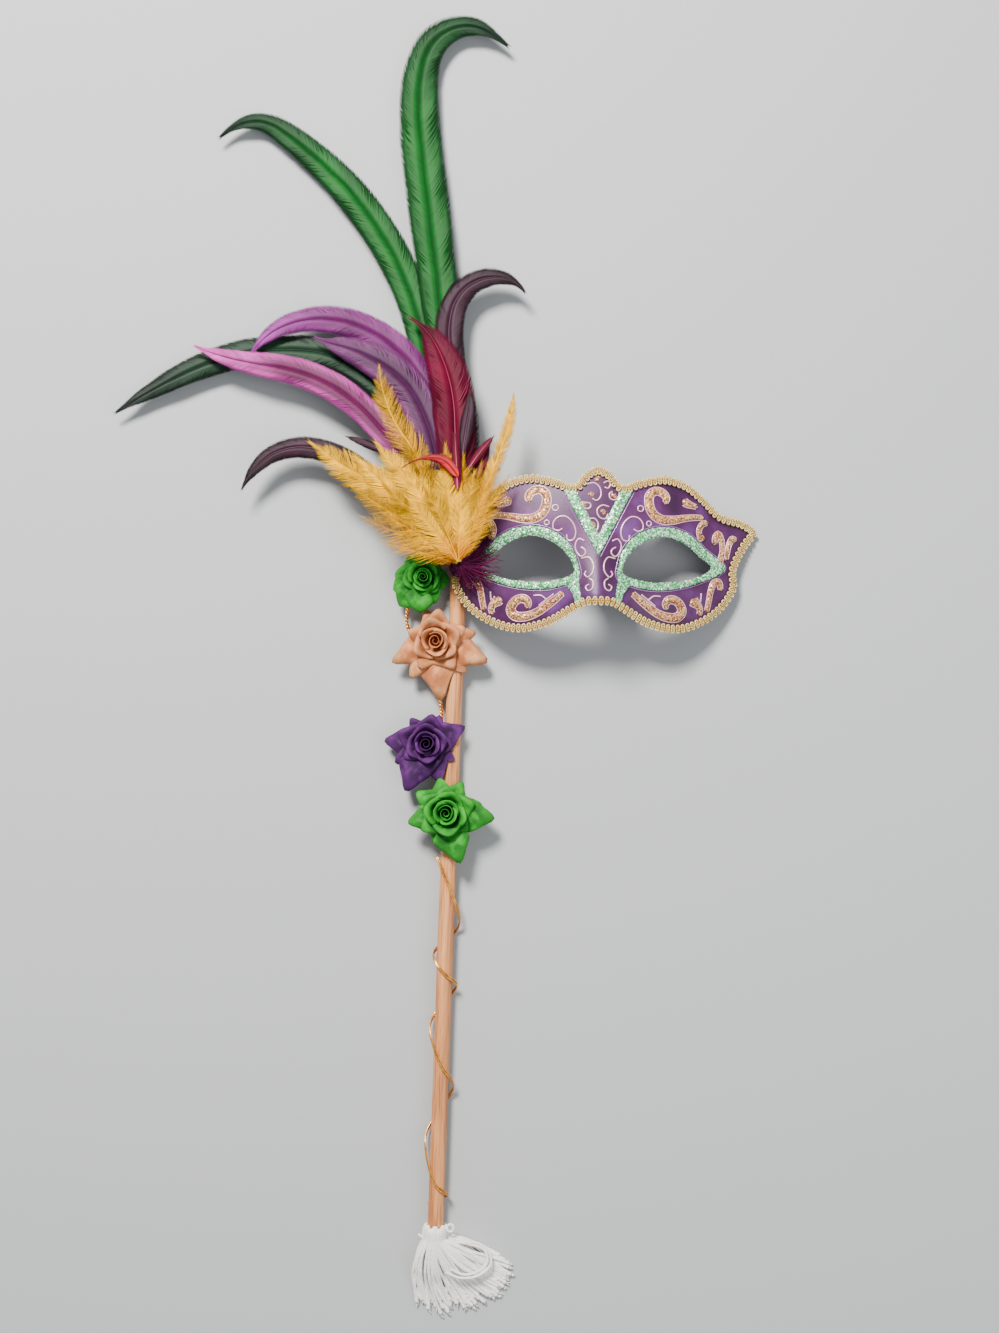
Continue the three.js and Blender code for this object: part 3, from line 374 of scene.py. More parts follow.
def pearlFinish():
    color = linear(80, 27, 80)
    material, nodes, links, shader = newFinish(
        "pearlPlastic", color, 0.46, 0.25, Coat_Weight=0.16, Coat_Roughness=0.45)
    cloudy = noiseNode(nodes, links, 45, 4)
    ramp = rampNode(nodes, links, cloudy.outputs["Fac"],
                    [(0.32, linear(52, 14, 54)), (0.52, color), (0.74, linear(110, 60, 132))])
    # The shade value blends in this dark colour as painted shade.
    paintedShadeColor = linear(40, 12, 44)
    shaded = mixNode(nodes, links, "MIX", valueNode(nodes, "shade"), ramp.outputs["Color"], paintedShadeColor)
    links.new(shaded, shader.inputs["Base Color"])
    fine = noiseNode(nodes, links, 900, 2)
    bumpNode(nodes, links, fine.outputs["Fac"], shader, 0.25, 0.0002)
    return material


def glitterFinish(name, stops, roughness, metallic):
    material, nodes, links, shader = newFinish(name, stops[0][1], roughness, metallic, Coat_Weight=0.3)
    ramp = rampNode(nodes, links, valueNode(nodes, "shade"), stops)
    ramp.color_ramp.interpolation = "CONSTANT"
    links.new(ramp.outputs["Color"], shader.inputs["Base Color"])
    return material


def threadFinish(name, pale, dark, roughness, metallic, **sockets):
    material, nodes, links, shader = newFinish(name, pale, roughness, metallic, **sockets)
    fibre = noiseNode(nodes, links, 1500, 2)
    ramp = rampNode(nodes, links, fibre.outputs["Fac"], [(0.3, dark), (0.6, pale)])
    # Where the value sunk is one the dark colour is laid on: painted shade on the braid's core.
    sunk = mixNode(nodes, links, "MIX", valueNode(nodes, "sunk"), ramp.outputs["Color"], dark)
    links.new(sunk, shader.inputs["Base Color"])
    bumpNode(nodes, links, fibre.outputs["Fac"], shader, 0.4, 0.0002)
    return material


def woodFinish():
    pale, dark, light = linear(212, 140, 82), linear(164, 98, 52), linear(232, 172, 112)
    material, nodes, links, shader = newFinish("bareWood", pale, 0.5, Coat_Weight=0.12, Coat_Roughness=0.4)
    grain = noiseNode(nodes, links, 260, 6, (1, 0.035, 1), 0.65)
    ramp = rampNode(nodes, links, grain.outputs["Fac"], [(0.34, dark), (0.52, pale), (0.75, light)])
    pores = noiseNode(nodes, links, 1400, 2, (1, 0.03, 1))
    lines = rampNode(nodes, links, pores.outputs["Fac"], [(0.36, linear(150, 98, 64)), (0.44, (1, 1, 1))])
    grained = mixNode(nodes, links, "MULTIPLY", 0.55, ramp.outputs["Color"], lines.outputs["Color"])
    links.new(grained, shader.inputs["Base Color"])
    bumpNode(nodes, links, grain.outputs["Fac"], shader, 0.3, 0.0003)
    return material


def wireFinish():
    gold = linear(246, 180, 84)
    material, nodes, links, shader = newFinish("goldWire", gold, 0.3, 0.9)
    worn = noiseNode(nodes, links, 500, 3)
    ramp = rampNode(nodes, links, worn.outputs["Fac"], [(0.35, linear(208, 132, 54)), (0.6, gold)])
    links.new(ramp.outputs["Color"], shader.inputs["Base Color"])
    return material


def paperFinish(name, low, middle, high, metallic=0.0):
    material, nodes, links, shader = newFinish(name, middle, 0.72, metallic, Specular_IOR_Level=0.25)
    cloudy = noiseNode(nodes, links, 130, 5)
    ramp = rampNode(nodes, links, cloudy.outputs["Fac"], [(0.32, low), (0.5, middle), (0.7, high)])
    lip = mixNode(nodes, links, "MIX", valueNode(nodes, "lip"), ramp.outputs["Color"], high)
    links.new(lip, shader.inputs["Base Color"])
    pulp = noiseNode(nodes, links, 700, 4)
    bumpNode(nodes, links, pulp.outputs["Fac"], shader, 0.35, 0.0004)
    return material


def featherFinish(name, root, middle, tip, edge, quill, gloss):
    root, middle, tip, edge, quill = (linear(*color) for color in (root, middle, tip, edge, quill))
    material, nodes, links, shader = newFinish(name, middle, 0.5, Specular_IOR_Level=gloss)
    stops = [(0.05, root), (0.4, middle), (0.75, middle), (0.96, tip)]
    along = rampNode(nodes, links, valueNode(nodes, "along"), stops)
    out = rampNode(nodes, links, valueNode(nodes, "out"), [(0.45, (0, 0, 0)), (1.0, (1, 1, 1))])
    faded = mixNode(nodes, links, "MIX", out.outputs["Color"], along.outputs["Color"], edge)
    # The shade value scales the colour from 0.4 to 1.35: random tone that is also painted shade and painted
    # highlight.
    shades = [(0.0, (0.4, 0.4, 0.4)), (1.0, (1.35, 1.35, 1.35))]
    shade = rampNode(nodes, links, valueNode(nodes, "shade"), shades)
    barred = mixNode(nodes, links, "MULTIPLY", 1.0, faded, shade.outputs["Color"])
    lined = mixNode(nodes, links, "MIX", valueNode(nodes, "quill"), barred, quill)
    links.new(lined, shader.inputs["Base Color"])
    return material


pearlPlastic = pearlFinish()
greenGlitter = glitterFinish("greenGlitter", [
    (0.0, linear(66, 150, 92)), (0.25, linear(170, 238, 184)), (0.5, linear(104, 196, 126)),
    (0.66, linear(222, 255, 226)), (0.86, linear(34, 112, 66)), (0.94, linear(255, 255, 255))], 0.3, 0.3)
goldGlitter = glitterFinish("goldGlitter", [
    (0.0, linear(140, 76, 56)), (0.25, linear(236, 182, 108)), (0.5, linear(198, 134, 76)),
    (0.7, linear(255, 214, 146)), (0.88, linear(134, 74, 64)), (0.95, linear(255, 242, 206))], 0.34, 0.25)
paleGold = threadFinish("paleGoldThread", linear(255, 232, 148), linear(142, 90, 24), 0.46, 0.08)
whiteCord = threadFinish(
    "whiteCord", linear(255, 253, 248), linear(226, 218, 208), 0.85, 0.0, Sheen_Weight=0.3)
bareWood = woodFinish()
goldWire = wireFinish()
pinkGold = newFinish("pinkGoldLine", linear(246, 196, 200), 0.32, 0.35)[0]
linePurple = newFinish("linePurple", linear(150, 100, 160), 0.3, 0.3, Coat_Weight=0.4)[0]
print("finishes made")


# Mask: the same form as its solid, from the same sizes
mask = {
    "halfWidth": 97, "height": 96, "wall": 1.8, "depth": 42, "overHandle": 16, "along": 405, "lean": 1.7,
    "wingStart": 66, "wingFlare": 9, "wingTipHeight": 0.4, "contact": 28.8,
    "edgeFall": 24, "edgeFallMiddle": 8, "noseRise": 11, "noseHalfWidth": 13, "noseTop": 26,
    "noseLength": 44, "noseGrowth": 1.4, "socketDepth": 4, "socketAcross": 40, "socketHalfWidth": 26,
    "socketHalfHeight": 13, "handleTop": 11.35, "gap": 0.3,
    "braidWidth": 4.6, "braidOverhang": 1.2, "glitterLift": 0.3, "glitterThickness": 0.9,
    "grid": 1.5, "edgeStep": 0.9, "lineStep": 0.8,
}
handleSizes = {"radius": 4.75, "length": 457, "axisHeight": 6.6, "sides": 64, "edge": 0.5, "edgeStep": 0.15,
               "edgeFall": 0.12, "uneven": 0.05, "unevenPace": 0.045, "ripple": 0.03, "ripplePace": 0.17}
maskAcross = mask["halfWidth"] - mask["overHandle"]

outlineRows = [
    (0.0, 0.604), (0.078, 0.563), (0.143, 0.49), (0.25, 0.522), (0.404, 0.551), (0.545, 0.514),
    (0.665, 0.425), (0.76, 0.341), (0.915, 0.3), (1.0, 0.232), (0.93, 0.13), (0.862, -0.01),
    (0.868, -0.115), (0.78, -0.255), (0.637, -0.354), (0.48, -0.398), (0.3, -0.366), (0.155, -0.288),
    (0.07, -0.243), (0.0, -0.238),
]
eyeHole = [
    (0.143, -0.046), (0.15, 0.012), (0.198, 0.087), (0.278, 0.15), (0.4, 0.184), (0.53, 0.146),
    (0.62, 0.076), (0.704, 0.004), (0.6, -0.064), (0.44, -0.095), (0.28, -0.094),
]
eyeRim = [
    (0.118, -0.075), (0.124, 0.02), (0.17, 0.126), (0.26, 0.203), (0.41, 0.238), (0.555, 0.2),
    (0.66, 0.115), (0.79, 0.003), (0.64, -0.082), (0.45, -0.134), (0.27, -0.134),
]
scrollStrokes = {  # across and along as shares of the half width and height, width as a share of the scrolls'
    "browHook": [(0.406, 0.382, 0.3), (0.414, 0.42, 0.7), (0.388, 0.45, 0.8), (0.345, 0.458, 0.8),
                 (0.312, 0.432, 0.85), (0.308, 0.372, 0.9), (0.332, 0.317, 0.9), (0.381, 0.286, 0.9),
                 (0.449, 0.284, 0.8), (0.521, 0.298, 0.6), (0.586, 0.307, 0.5), (0.65, 0.309, 0.4)],
    "browComma": [(0.518, 0.408, 0.9), (0.548, 0.39, 0.75), (0.58, 0.38, 0.5), (0.612, 0.372, 0.35)],
    "templeDrop": [(0.68, 0.282, 0.45), (0.642, 0.268, 0.45), (0.622, 0.23, 0.42), (0.626, 0.2, 0.5),
                   (0.64, 0.184, 0.8), (0.656, 0.18, 0.6)],
    "templeScroll": [(0.724, 0.149, 0.35), (0.728, 0.188, 0.5), (0.748, 0.214, 0.6), (0.768, 0.18, 0.5),
                     (0.776, 0.12, 0.45), (0.768, 0.069, 0.5), (0.75, 0.036, 0.6), (0.728, 0.044, 0.45)],
    "wingStrip": [(0.868, 0.176, 0.35), (0.842, 0.19, 0.5), (0.82, 0.152, 0.45), (0.809, 0.107, 0.4),
                  (0.8, 0.056, 0.3)],
    "cheekScroll": [(0.205, -0.163, 0.45), (0.25, -0.202, 0.6), (0.306, -0.245, 0.7), (0.365, -0.284, 0.75),
                    (0.43, -0.306, 0.85), (0.489, -0.303, 0.9), (0.516, -0.272, 0.9), (0.506, -0.232, 0.85),
                    (0.472, -0.202, 0.8), (0.433, -0.2, 0.75), (0.412, -0.228, 0.6), (0.422, -0.258, 0.25)],
    "cheekDrop": [(0.578, -0.192, 0.8), (0.588, -0.204, 1.15), (0.604, -0.216, 0.95), (0.622, -0.232, 0.65),
                  (0.634, -0.258, 0.5), (0.625, -0.292, 0.4)],
    "cheekArch": [(0.677, -0.267, 0.4), (0.69, -0.202, 0.45), (0.702, -0.137, 0.5), (0.726, -0.085, 0.6),
                  (0.754, -0.083, 0.6), (0.768, -0.134, 0.4)],
}
scrollSizes = {"width": 4.7, "relief": 1.0, "sunk": 0.4, "step": 0.7, "outline": 0.5, "line": 0.3,
               "lineLift": 0.08, "outlineGap": 0.2, "scrollGap": 0.3, "density": 2.6, "flake": 0.44,
               "tilt": 0.3}


def wrapHeight(x):
    out = np.maximum(0, np.abs(x) - mask["wingStart"]) / (mask["halfWidth"] - mask["wingStart"])
    return mask["depth"] * (1 - (x / mask["halfWidth"]) ** 2) + mask["wingFlare"] * out ** 2


def faceForm(x, y):
    x, y = np.asarray(x, float), np.asarray(y, float)
    down = np.clip((mask["noseTop"] - y) / mask["noseLength"], 0, 1)
    nose = mask["noseRise"] * np.exp(-((x / mask["noseHalfWidth"]) ** 2)) * down ** mask["noseGrowth"]
    eyeX = (np.abs(x) - mask["socketAcross"]) / mask["socketHalfWidth"]
    eyeY = (y - mask["socketHalfHeight"] / 4) / mask["socketHalfHeight"]
    socket = mask["socketDepth"] * np.exp(-(eyeX ** 2) - eyeY ** 2)
    edge = mask["edgeFall"] * ((y - mask["edgeFallMiddle"]) / mask["height"]) ** 2
    return wrapHeight(x) - wrapHeight(mask["halfWidth"]) + nose - socket - edge + mask["wingTipHeight"]


def restSlope():
    y = np.linspace(-mask["contact"], mask["contact"], 25)
    x = -(maskAcross + handleSizes["radius"]) - y * math.sin(mask["lean"] * degree)
    clear = mask["handleTop"] + 2 * mask["gap"]
    return float(np.max((clear - faceForm(x, y)) / (mask["halfWidth"] - x)))


maskSlope = max(0.0, restSlope())


def faceHeight(x, y):
    return faceForm(x, y) + maskSlope * (mask["halfWidth"] - np.asarray(x, float)) + mask["wall"]


def faceNormal(x, y):
    d = 0.2
    slopeX = (faceHeight(x + d, y) - faceHeight(x - d, y)) / (2 * d)
    slopeY = (faceHeight(x, y + d) - faceHeight(x, y - d)) / (2 * d)
    normal = np.stack([-slopeX, -slopeY, np.ones_like(slopeX)], axis=-1)
    return normal / np.linalg.norm(normal, axis=-1)[..., None]


leanCos, leanSin = math.cos(mask["lean"] * degree), math.sin(mask["lean"] * degree)


def toPart(points):  # from the mask's own plan to the frame
    p = np.asarray(points, float)
    x = maskAcross + p[:, 0] * leanCos - p[:, 1] * leanSin
    y = mask["along"] + p[:, 0] * leanSin + p[:, 1] * leanCos
    return np.stack([x, y, p[:, 2]], axis=1)


def onFace(plan, lift):  # plan points set on the face, lifted along its normal
    plan = np.asarray(plan, float)
    x, y = plan[:, 0], plan[:, 1]
    base = np.stack([x, y, faceHeight(x, y)], axis=1)
    return base + faceNormal(x, y) * np.broadcast_to(lift, len(plan))[:, None]


def fullOutline(inset, spacing):
    right = smoothPath([(x * mask["halfWidth"], y * mask["height"]) for x, y in outlineRows], 14)
    loop = np.concatenate([right, (right[1:-1] * [-1, 1])[::-1]])
    loop = evenPath(loop, spacing, True)
    along = unitRows(loopAlong(loop))
    moved = loop + np.stack([along[:, 1], -along[:, 0]], axis=1) * inset
    if inset:
        gaps = np.linalg.norm(moved[:, None] - loop[None], axis=2).min(axis=1)
        moved = moved[gaps >= abs(inset) * 0.97]
    return evenPath(moved, spacing, True)


def eyeLoop(rows, side, spacing):
    loop = smoothPath([(side * x * mask["halfWidth"], y * mask["height"]) for x, y in rows], 12, True)
    return evenPath(loop, spacing, True)


def inside(points, loop):  # which points lie in a loop
    p, a = np.asarray(points), np.asarray(loop)
    b = np.roll(a, -1, 0)
    found = np.zeros(len(p), bool)
    for (ax, ay), (bx, by) in zip(a, b):
        if ay == by:
            continue
        crosses = (ay > p[:, 1]) != (by > p[:, 1])
        found ^= crosses & (p[:, 0] < (bx - ax) * (p[:, 1] - ay) / (by - ay) + ax)
    return found


def flatMesh(outer, holes, spacing):  # triangles of a flat region, with the loops as its edges
    loops = [outer, *holes]
    low, high = outer.min(axis=0), outer.max(axis=0)
    gridX, gridY = np.meshgrid(*(np.arange(low[k], high[k], spacing) for k in (0, 1)))
    gridX[1::2] += spacing / 2
    filling = np.stack([gridX.ravel(), gridY.ravel()], axis=1)
    keep = inside(filling, outer)
    for hole in holes:
        keep &= ~inside(filling, hole)
    filling = filling[keep]
    edges = np.concatenate(loops)
    near = np.array([np.min(np.sum((edges - point) ** 2, axis=1)) for point in filling])
    filling = filling[near > (spacing * 0.6) ** 2]
    points = [Vector(p) for p in np.concatenate([edges, filling])]
    links, start = [], 0
    for loop in loops:
        links += [(start + i, start + (i + 1) % len(loop)) for i in range(len(loop))]
        start += len(loop)
    found, _, faces, *_ = delaunay_2d_cdt(points, links, [], 0, 1e-5)
    plan = np.array([tuple(p) for p in found])
    faces = np.array([tuple(f) for f in faces])
    middle = plan[faces].mean(axis=1)
    keep = inside(middle, outer)
    for hole in holes:
        keep &= ~inside(middle, hole)
    faces = faces[keep]
    a, b, c = plan[faces[:, 0]], plan[faces[:, 1]], plan[faces[:, 2]]
    turned = np.cross(b - a, c - a) < 0
    faces[turned] = faces[turned][:, ::-1]
    return plan, faces


def thickFlat(plan, faces, top, bottom):  # a closed body from a flat mesh and its two surfaces
    count = len(plan)
    edges = {}
    for face in faces:
        for a, b in zip(face, np.roll(face, -1)):
            edges[(int(a), int(b))] = True
    shell = [tuple(int(i) for i in face) for face in faces]
    shell += [tuple(int(i) + count for i in face[::-1]) for face in faces]
    shell += [(b, a, a + count, b + count) for a, b in edges if (b, a) not in edges]
    return np.concatenate([top, bottom]), shell


def nearestTo(plan, loops):  # distance from each plan point to the nearest of some lines
    marks = np.concatenate(loops)
    return np.array([np.sqrt(np.min(np.sum((marks - p) ** 2, axis=1))) for p in plan])


def strokePlan(rows, side, step):
    points = [(side * x * mask["halfWidth"], y * mask["height"], w) for x, y, w in rows]
    return evenPath(smoothPath(points, 10), step)


# Painted shade on the mask face: its reach from the raised lines and how dark it lies beside them, inside the
# vee and down the nose.
paintedShadeSizes = {"nearLine": 2.6, "lineShade": 0.55, "crownFoot": 6, "crownSpread": 0.44, "crownShade": 0.35,
              "noseShade": 0.4, "noseReach": 14}


def makeShell():
    outer = fullOutline(mask["braidOverhang"], mask["edgeStep"])
    holes = [eyeLoop(eyeHole, side, mask["edgeStep"]) for side in (-1, 1)]
    plan, faces = flatMesh(outer, holes, mask["grid"])
    top = onFace(plan, 0)
    under = onFace(plan, -mask["wall"])
    points, shell = thickFlat(plan, faces, top, under)
    d, step = paintedShadeSizes, mask["lineStep"]
    lines = [eyeLoop(eyeRim, side, step) for side in (-1, 1)]
    lines += [strokePlan(rows, side, step)[:, :2] for side in (-1, 1) for rows in scrollStrokes.values()]
    lines += [veePlan(step), fullOutline(mask["braidWidth"], step)]
    # Painted shade: the face is darkened beside the raised bands, scrolls and braid, over the field inside
    # the vee and down the nose.
    shade = np.clip(1 - nearestTo(plan, lines) / d["nearLine"], 0, 1) * d["lineShade"]
    x, y = plan[:, 0], plan[:, 1]
    crown = (np.abs(x) < (y - d["crownFoot"]) * d["crownSpread"]).astype(float) * d["crownShade"]
    nose = d["noseShade"] * np.exp(-((x / d["noseReach"]) ** 2)) * (y < d["crownFoot"])
    shade = np.maximum(shade, crown + nose)
    values = {"shade": np.concatenate([shade, shade])}
    return makePiece("maskShell", toPart(points), shell, pearlPlastic, values)


glitterSizes = {"density": 1.7, "flake": 0.56, "flakeSides": 4, "flakeHalf": 0.09, "tilt": 0.35, "grid": 0.9,
                "rounding": 1.1, "dome": 0.45, "sunk": 0.25}
veeSizes = {"top": 46, "halfWidth": 18.5, "bottom": 5.6, "width": 6.2, "cut": 0.443, "overCut": 1}


def veePlan(step):
    v = veeSizes
    rows = [(-v["halfWidth"], v["top"]), (0, v["bottom"] + v["width"]), (v["halfWidth"], v["top"])]
    return evenPath(np.array(rows, float), step)


def strokeEdges(path):  # half width along a stroke, round at its ends, and the way across it
    half = path[:, 2] * scrollSizes["width"] / 2
    run = np.arange(len(path)) * scrollSizes["step"]
    ends = np.clip(np.minimum(run, run[-1] - run) / half, 0.02, 1)
    along = unitRows(np.gradient(path[:, :2], axis=0))
    return half * np.sqrt(ends * (2 - ends)), np.stack([-along[:, 1], along[:, 0]], axis=1)


def makeOutlines():  # the fine pale line that runs round each scroll
    heap = Heap()
    field = fullOutline(mask["braidWidth"] + scrollSizes["outlineGap"], 1.0)
    for side in (-1, 1):
        for rows in scrollStrokes.values():
            path = strokePlan(rows, side, scrollSizes["step"])
            half, across = strokeEdges(path)
            reach = half + scrollSizes["outline"]
            for edge in (-1, 1):
                line = path[:, :2] + across * (edge * reach)[:, None]
                gaps = np.linalg.norm(line[:, None] - path[None, :, :2], axis=2) - reach[None]
                keep = (gaps.min(axis=1) > -0.2) & inside(line, field)
                runs = np.split(np.arange(len(line)), np.flatnonzero(np.diff(keep)) + 1)
                for run in runs:
                    if keep[run[0]] and len(run) > 4:
                        piece = onFace(evenPath(line[run], mask["lineStep"]), scrollSizes["lineLift"])
                        heap.add(*tube(toPart(piece), scrollSizes["line"], 6))
    return heap.build("scrollOutlines", pinkGold)


def makeScrolls():
    heap = Heap()
    field = fullOutline(mask["braidWidth"] + scrollSizes["scrollGap"], 1.0)
    section = np.linspace(0, math.pi, 9)
    for side in (-1, 1):
        for rows in scrollStrokes.values():
            path = strokePlan(rows, side, scrollSizes["step"])
            path = path[inside(path[:, :2], field)]
            count = len(path)
            half, across = strokeEdges(path)
            rings = []
            for angle in section:
                plan = path[:, :2] + across * (half * math.cos(angle))[:, None]
                rise = scrollSizes["relief"] * math.sin(angle) ** 0.6 * np.minimum(1, half / 1.2)
                rings.append(onFace(plan, rise - scrollSizes["sunk"] * (1 - math.sin(angle))))
            rings.append(onFace(path[:, :2], -scrollSizes["sunk"]))
            sides = len(rings)
            points = np.stack(rings, axis=1).reshape(-1, 3)
            faces = []
            for i in range(count - 1):
                for k in range(sides):
                    m = (k + 1) % sides
                    faces.append((i * sides + k, (i + 1) * sides + k, (i + 1) * sides + m, i * sides + m))
            faces.append(tuple(range(sides)))
            faces.append(tuple((count - 1) * sides + k for k in range(sides))[::-1])
            heap.add(toPart(points), faces, shade=0.2)
    scrolls = heap.build("maskScrolls", goldGlitter)
    return addFlakes(scrolls, scrollSizes["density"], scrollSizes["flake"], 7, scrollSizes["tilt"])


def addFlakes(piece, density, radius, seed, tilt=glitterSizes["tilt"]):  # flakes set on a glitter surface
    sides, half = glitterSizes["flakeSides"], glitterSizes["flakeHalf"]
    angles = np.arange(sides) * 2 * math.pi / sides
    ring = np.stack([np.cos(angles), np.sin(angles), np.zeros(sides)], axis=1) * radius
    top, low = ring + [0, 0, half], ring - [0, 0, half]
    faces = [tuple(range(sides)), tuple(range(sides, 2 * sides))[::-1]]
    for k in range(sides):
        m = (k + 1) % sides
        faces.append((k, k + sides, m + sides, m))
    material = piece.data.materials[0]
    flake = makePiece("flake", np.concatenate([top, low]), faces, material, None, False)
    mesh = runTree(
        piece, strewFlakes, Flake=flake, Density=density / mm ** 2, Tilt=tilt, Seed=seed, Finish=material)
    points, found, (shade,) = arraysOf(mesh, "shade")
    basePoints, baseFaces, (baseShade,) = arraysOf(piece.data, "shade")
    heap = Heap()
    heap.add(basePoints, baseFaces, shade=baseShade)
    heap.add(points, found, shade=shade)
    name = piece.name
    bpy.data.objects.remove(piece)
    bpy.data.objects.remove(flake)
    return heap.build(name, material, False)


def joinLoops(first, second, spacing):  # the outline of two crossing loops together
    keepFirst, keepSecond = ~inside(first, second), ~inside(second, first)
    start = int(np.flatnonzero(keepFirst & ~np.roll(keepFirst, 1))[0])
    one = np.roll(first, -start, 0)[np.roll(keepFirst, -start)]
    start = int(np.flatnonzero(keepSecond & ~np.roll(keepSecond, 1))[0])
    two = np.roll(second, -start, 0)[np.roll(keepSecond, -start)]
    if np.linalg.norm(one[-1] - two[0]) > np.linalg.norm(one[-1] - two[-1]):
        two = two[::-1]
    return evenPath(np.concatenate([one, two]), spacing, True)


def glitterBand(name, outer, holes):  # a padded band of glitter over the face
    g = glitterSizes
    plan, faces = flatMesh(outer, holes, g["grid"])
    edges = nearestTo(plan, [outer, *holes])
    dome = np.sqrt(np.clip(edges / g["rounding"], 0, 1)) * g["dome"]
    top = onFace(plan, mask["glitterLift"] + mask["glitterThickness"] - g["dome"] + dome)
    under = onFace(plan, mask["glitterLift"] - g["sunk"])
    points, body = thickFlat(plan, faces, top, under)
    return makePiece(name, toPart(points), body, greenGlitter, {"shade": np.full(len(points), 0.2)})


legRows = [(0.123, -0.02), (0.114, -0.11), (0.092, -0.25), (0.127, -0.25), (0.148, -0.165), (0.19, -0.115)]


def makeRims():
    found, step = [], mask["lineStep"]
    for side, name in ((-1, "glitterRimLeft"), (1, "glitterRimRight")):
        rim, hole = eyeLoop(eyeRim, side, step), eyeLoop(eyeHole, side, step)
        leg = evenPath(np.array(legRows) * [side * mask["halfWidth"], mask["height"]], step, True)
        band = glitterBand(name, joinLoops(rim, leg, step), [hole])
        found.append(addFlakes(band, glitterSizes["density"], glitterSizes["flake"], 11 + side))
    return found


def makeVee():
    v = veeSizes
    inner, outer = v["halfWidth"] - v["width"] / 2, v["halfWidth"] + v["width"] / 2
    bottom = v["bottom"] + (v["top"] - v["bottom"]) * (outer - inner) / outer
    top = v["cut"] * mask["height"]
    innerTop = inner * (top - bottom) / (v["top"] - bottom)
    outerTop = outer * (top - v["bottom"]) / (v["top"] - v["bottom"])
    end = top + v["overCut"]
    corners = [(0, v["bottom"]), (outerTop, end), (innerTop, end), (0, bottom), (-innerTop, end),
               (-outerTop, end)]
    loop = evenPath(np.array(corners, float), mask["lineStep"], True)
    return addFlakes(glitterBand("glitterVee", loop, []), glitterSizes["density"], glitterSizes["flake"], 5)


fineCurls = [  # thin raised curls of the right half, in mask millimetres
    [(20.6, 21.3), (23, 20.1), (25.8, 21.3), (25.8, 25), (23, 28), (18.8, 28.3), (14.6, 24.4), (13, 18.9),
     (14.6, 14.7), (17.6, 14.7), (18.2, 17.7)],
    [(8, 14.1), (11, 15.3), (13, 12.9), (12.8, 8.7), (9.8, 5.1), (7.4, 6.9), (8, 9.3), (10.1, 10.5)],
    [(9.8, 3.9), (5.5, 4.5), (3.1, 0.8), (3.4, -4), (6.2, -7), (8, -5.2), (7, -3.4)],
    [(5.5, -7.6), (3.4, -9.4), (3.7, -13.6), (6.2, -14.8), (7.4, -12.4), (5.5, -11.2)],
    [(25.4, -16.4), (29.7, -19.7), (33.9, -23)],
    [(29.7, -19.4), (32.7, -17.2), (36.9, -17.2)],
    [(62, -14.8), (61.6, -19.7)],
]
crownCurls = [  # thin curls in the field of the vee
    [(-6.5, 47.3), (-2.3, 47.9), (1, 44.9), (1.3, 40), (-1.1, 37.6), (-3.5, 38.8)],
    [(3.1, 47.9), (5.5, 49.1), (7, 47.3), (5.5, 44.9), (3.7, 45.5)],
    [(11.6, 44.3), (12.2, 41.2), (9.8, 38.2), (7, 38.8), (6.5, 41.8), (8.2, 43)],
    [(-11.9, 42.5), (-12.5, 40), (-10.7, 37), (-7.7, 36.4), (-4.7, 35.8), (-4.7, 33.4), (-7.1, 32.8),
     (-9.5, 34)],
    [(6.2, 34), (2.5, 34.9), (-0.5, 32.8), (-0.5, 29.8), (1.3, 27.4), (4.3, 27.1), (5.5, 29.8)],
    [(-5.9, 26.8), (-2.3, 27.1), (-0.2, 24.4), (-0.7, 20.7), (-2.9, 19.2), (-4.3, 20.4)],
    [(-6.5, 24.4), (-4.7, 22.6), (-2.3, 24.4)],
]
browRings = [(24.7, 33.4, 1.7), (29.6, 24.8, 1.4)]  # middle and radius of the small rings
crownDots = [(-4.1, 41.2), (-0.5, 50.3), (-8.6, 35.2), (2.9, 31), (8.9, 40.6), (-3.2, 23.6)]
curlSizes = {"radius": 0.44, "lift": 0.15, "step": 0.6, "ringShare": 0.8}
dotSizes = {"radius": 1.5, "height": 0.9, "top": 0.92, "uneven": 0.18, "sides": 12, "levels": 5,
            "density": 4.5, "flake": 0.3}
contourSizes = {"gap": 1.0, "lift": 0.05, "radius": 0.34, "veeShare": 0.93}


def makeCurls():
    heap, c = Heap(), curlSizes
    strokes = [[(side * x, y) for x, y in rows] for rows in fineCurls for side in (-1, 1)] + crownCurls
    for rows in strokes:
        path = evenPath(smoothPath(rows, 12), c["step"])
        heap.add(*tube(toPart(onFace(path, c["lift"])), c["radius"], 6))
    around = np.linspace(0, 2 * math.pi, 16, endpoint=False)
    for x, y, radius in browRings:
        for side in (-1, 1):
            ring = np.stack([side * x + radius * np.cos(around), y + radius * np.sin(around)], axis=1)
            heap.add(*tube(toPart(onFace(ring, c["lift"])), c["radius"] * c["ringShare"], 6, closed=True))
    return heap.build("maskCurls", pinkGold)


def makeDots():
    heap, d = Heap(), dotSizes
    sides, levels = d["sides"], d["levels"]
    angles = np.linspace(0, 2 * math.pi, sides, endpoint=False)
    for x, y in crownDots:
        rings = []
        for level in np.linspace(0, math.pi / 2 * d["top"], levels):
            reach = d["radius"] * math.cos(level) * (1 + d["uneven"] * np.sin(2 * angles + x))
            plan = np.stack([x + reach * np.cos(angles), y + reach * np.sin(angles)], axis=1)
            rings.append(onFace(plan, d["height"] * math.sin(level)))
        faces = [tuple(range(sides))[::-1]]
        for i in range(levels - 1):
            for k in range(sides):
                m = (k + 1) % sides
                faces.append((i * sides + k, i * sides + m, (i + 1) * sides + m, (i + 1) * sides + k))
        faces.append(tuple((levels - 1) * sides + k for k in range(sides)))
        heap.add(toPart(np.concatenate(rings)), faces, shade=0.2)
    return addFlakes(heap.build("crownDots", goldGlitter), d["density"], d["flake"], 3)


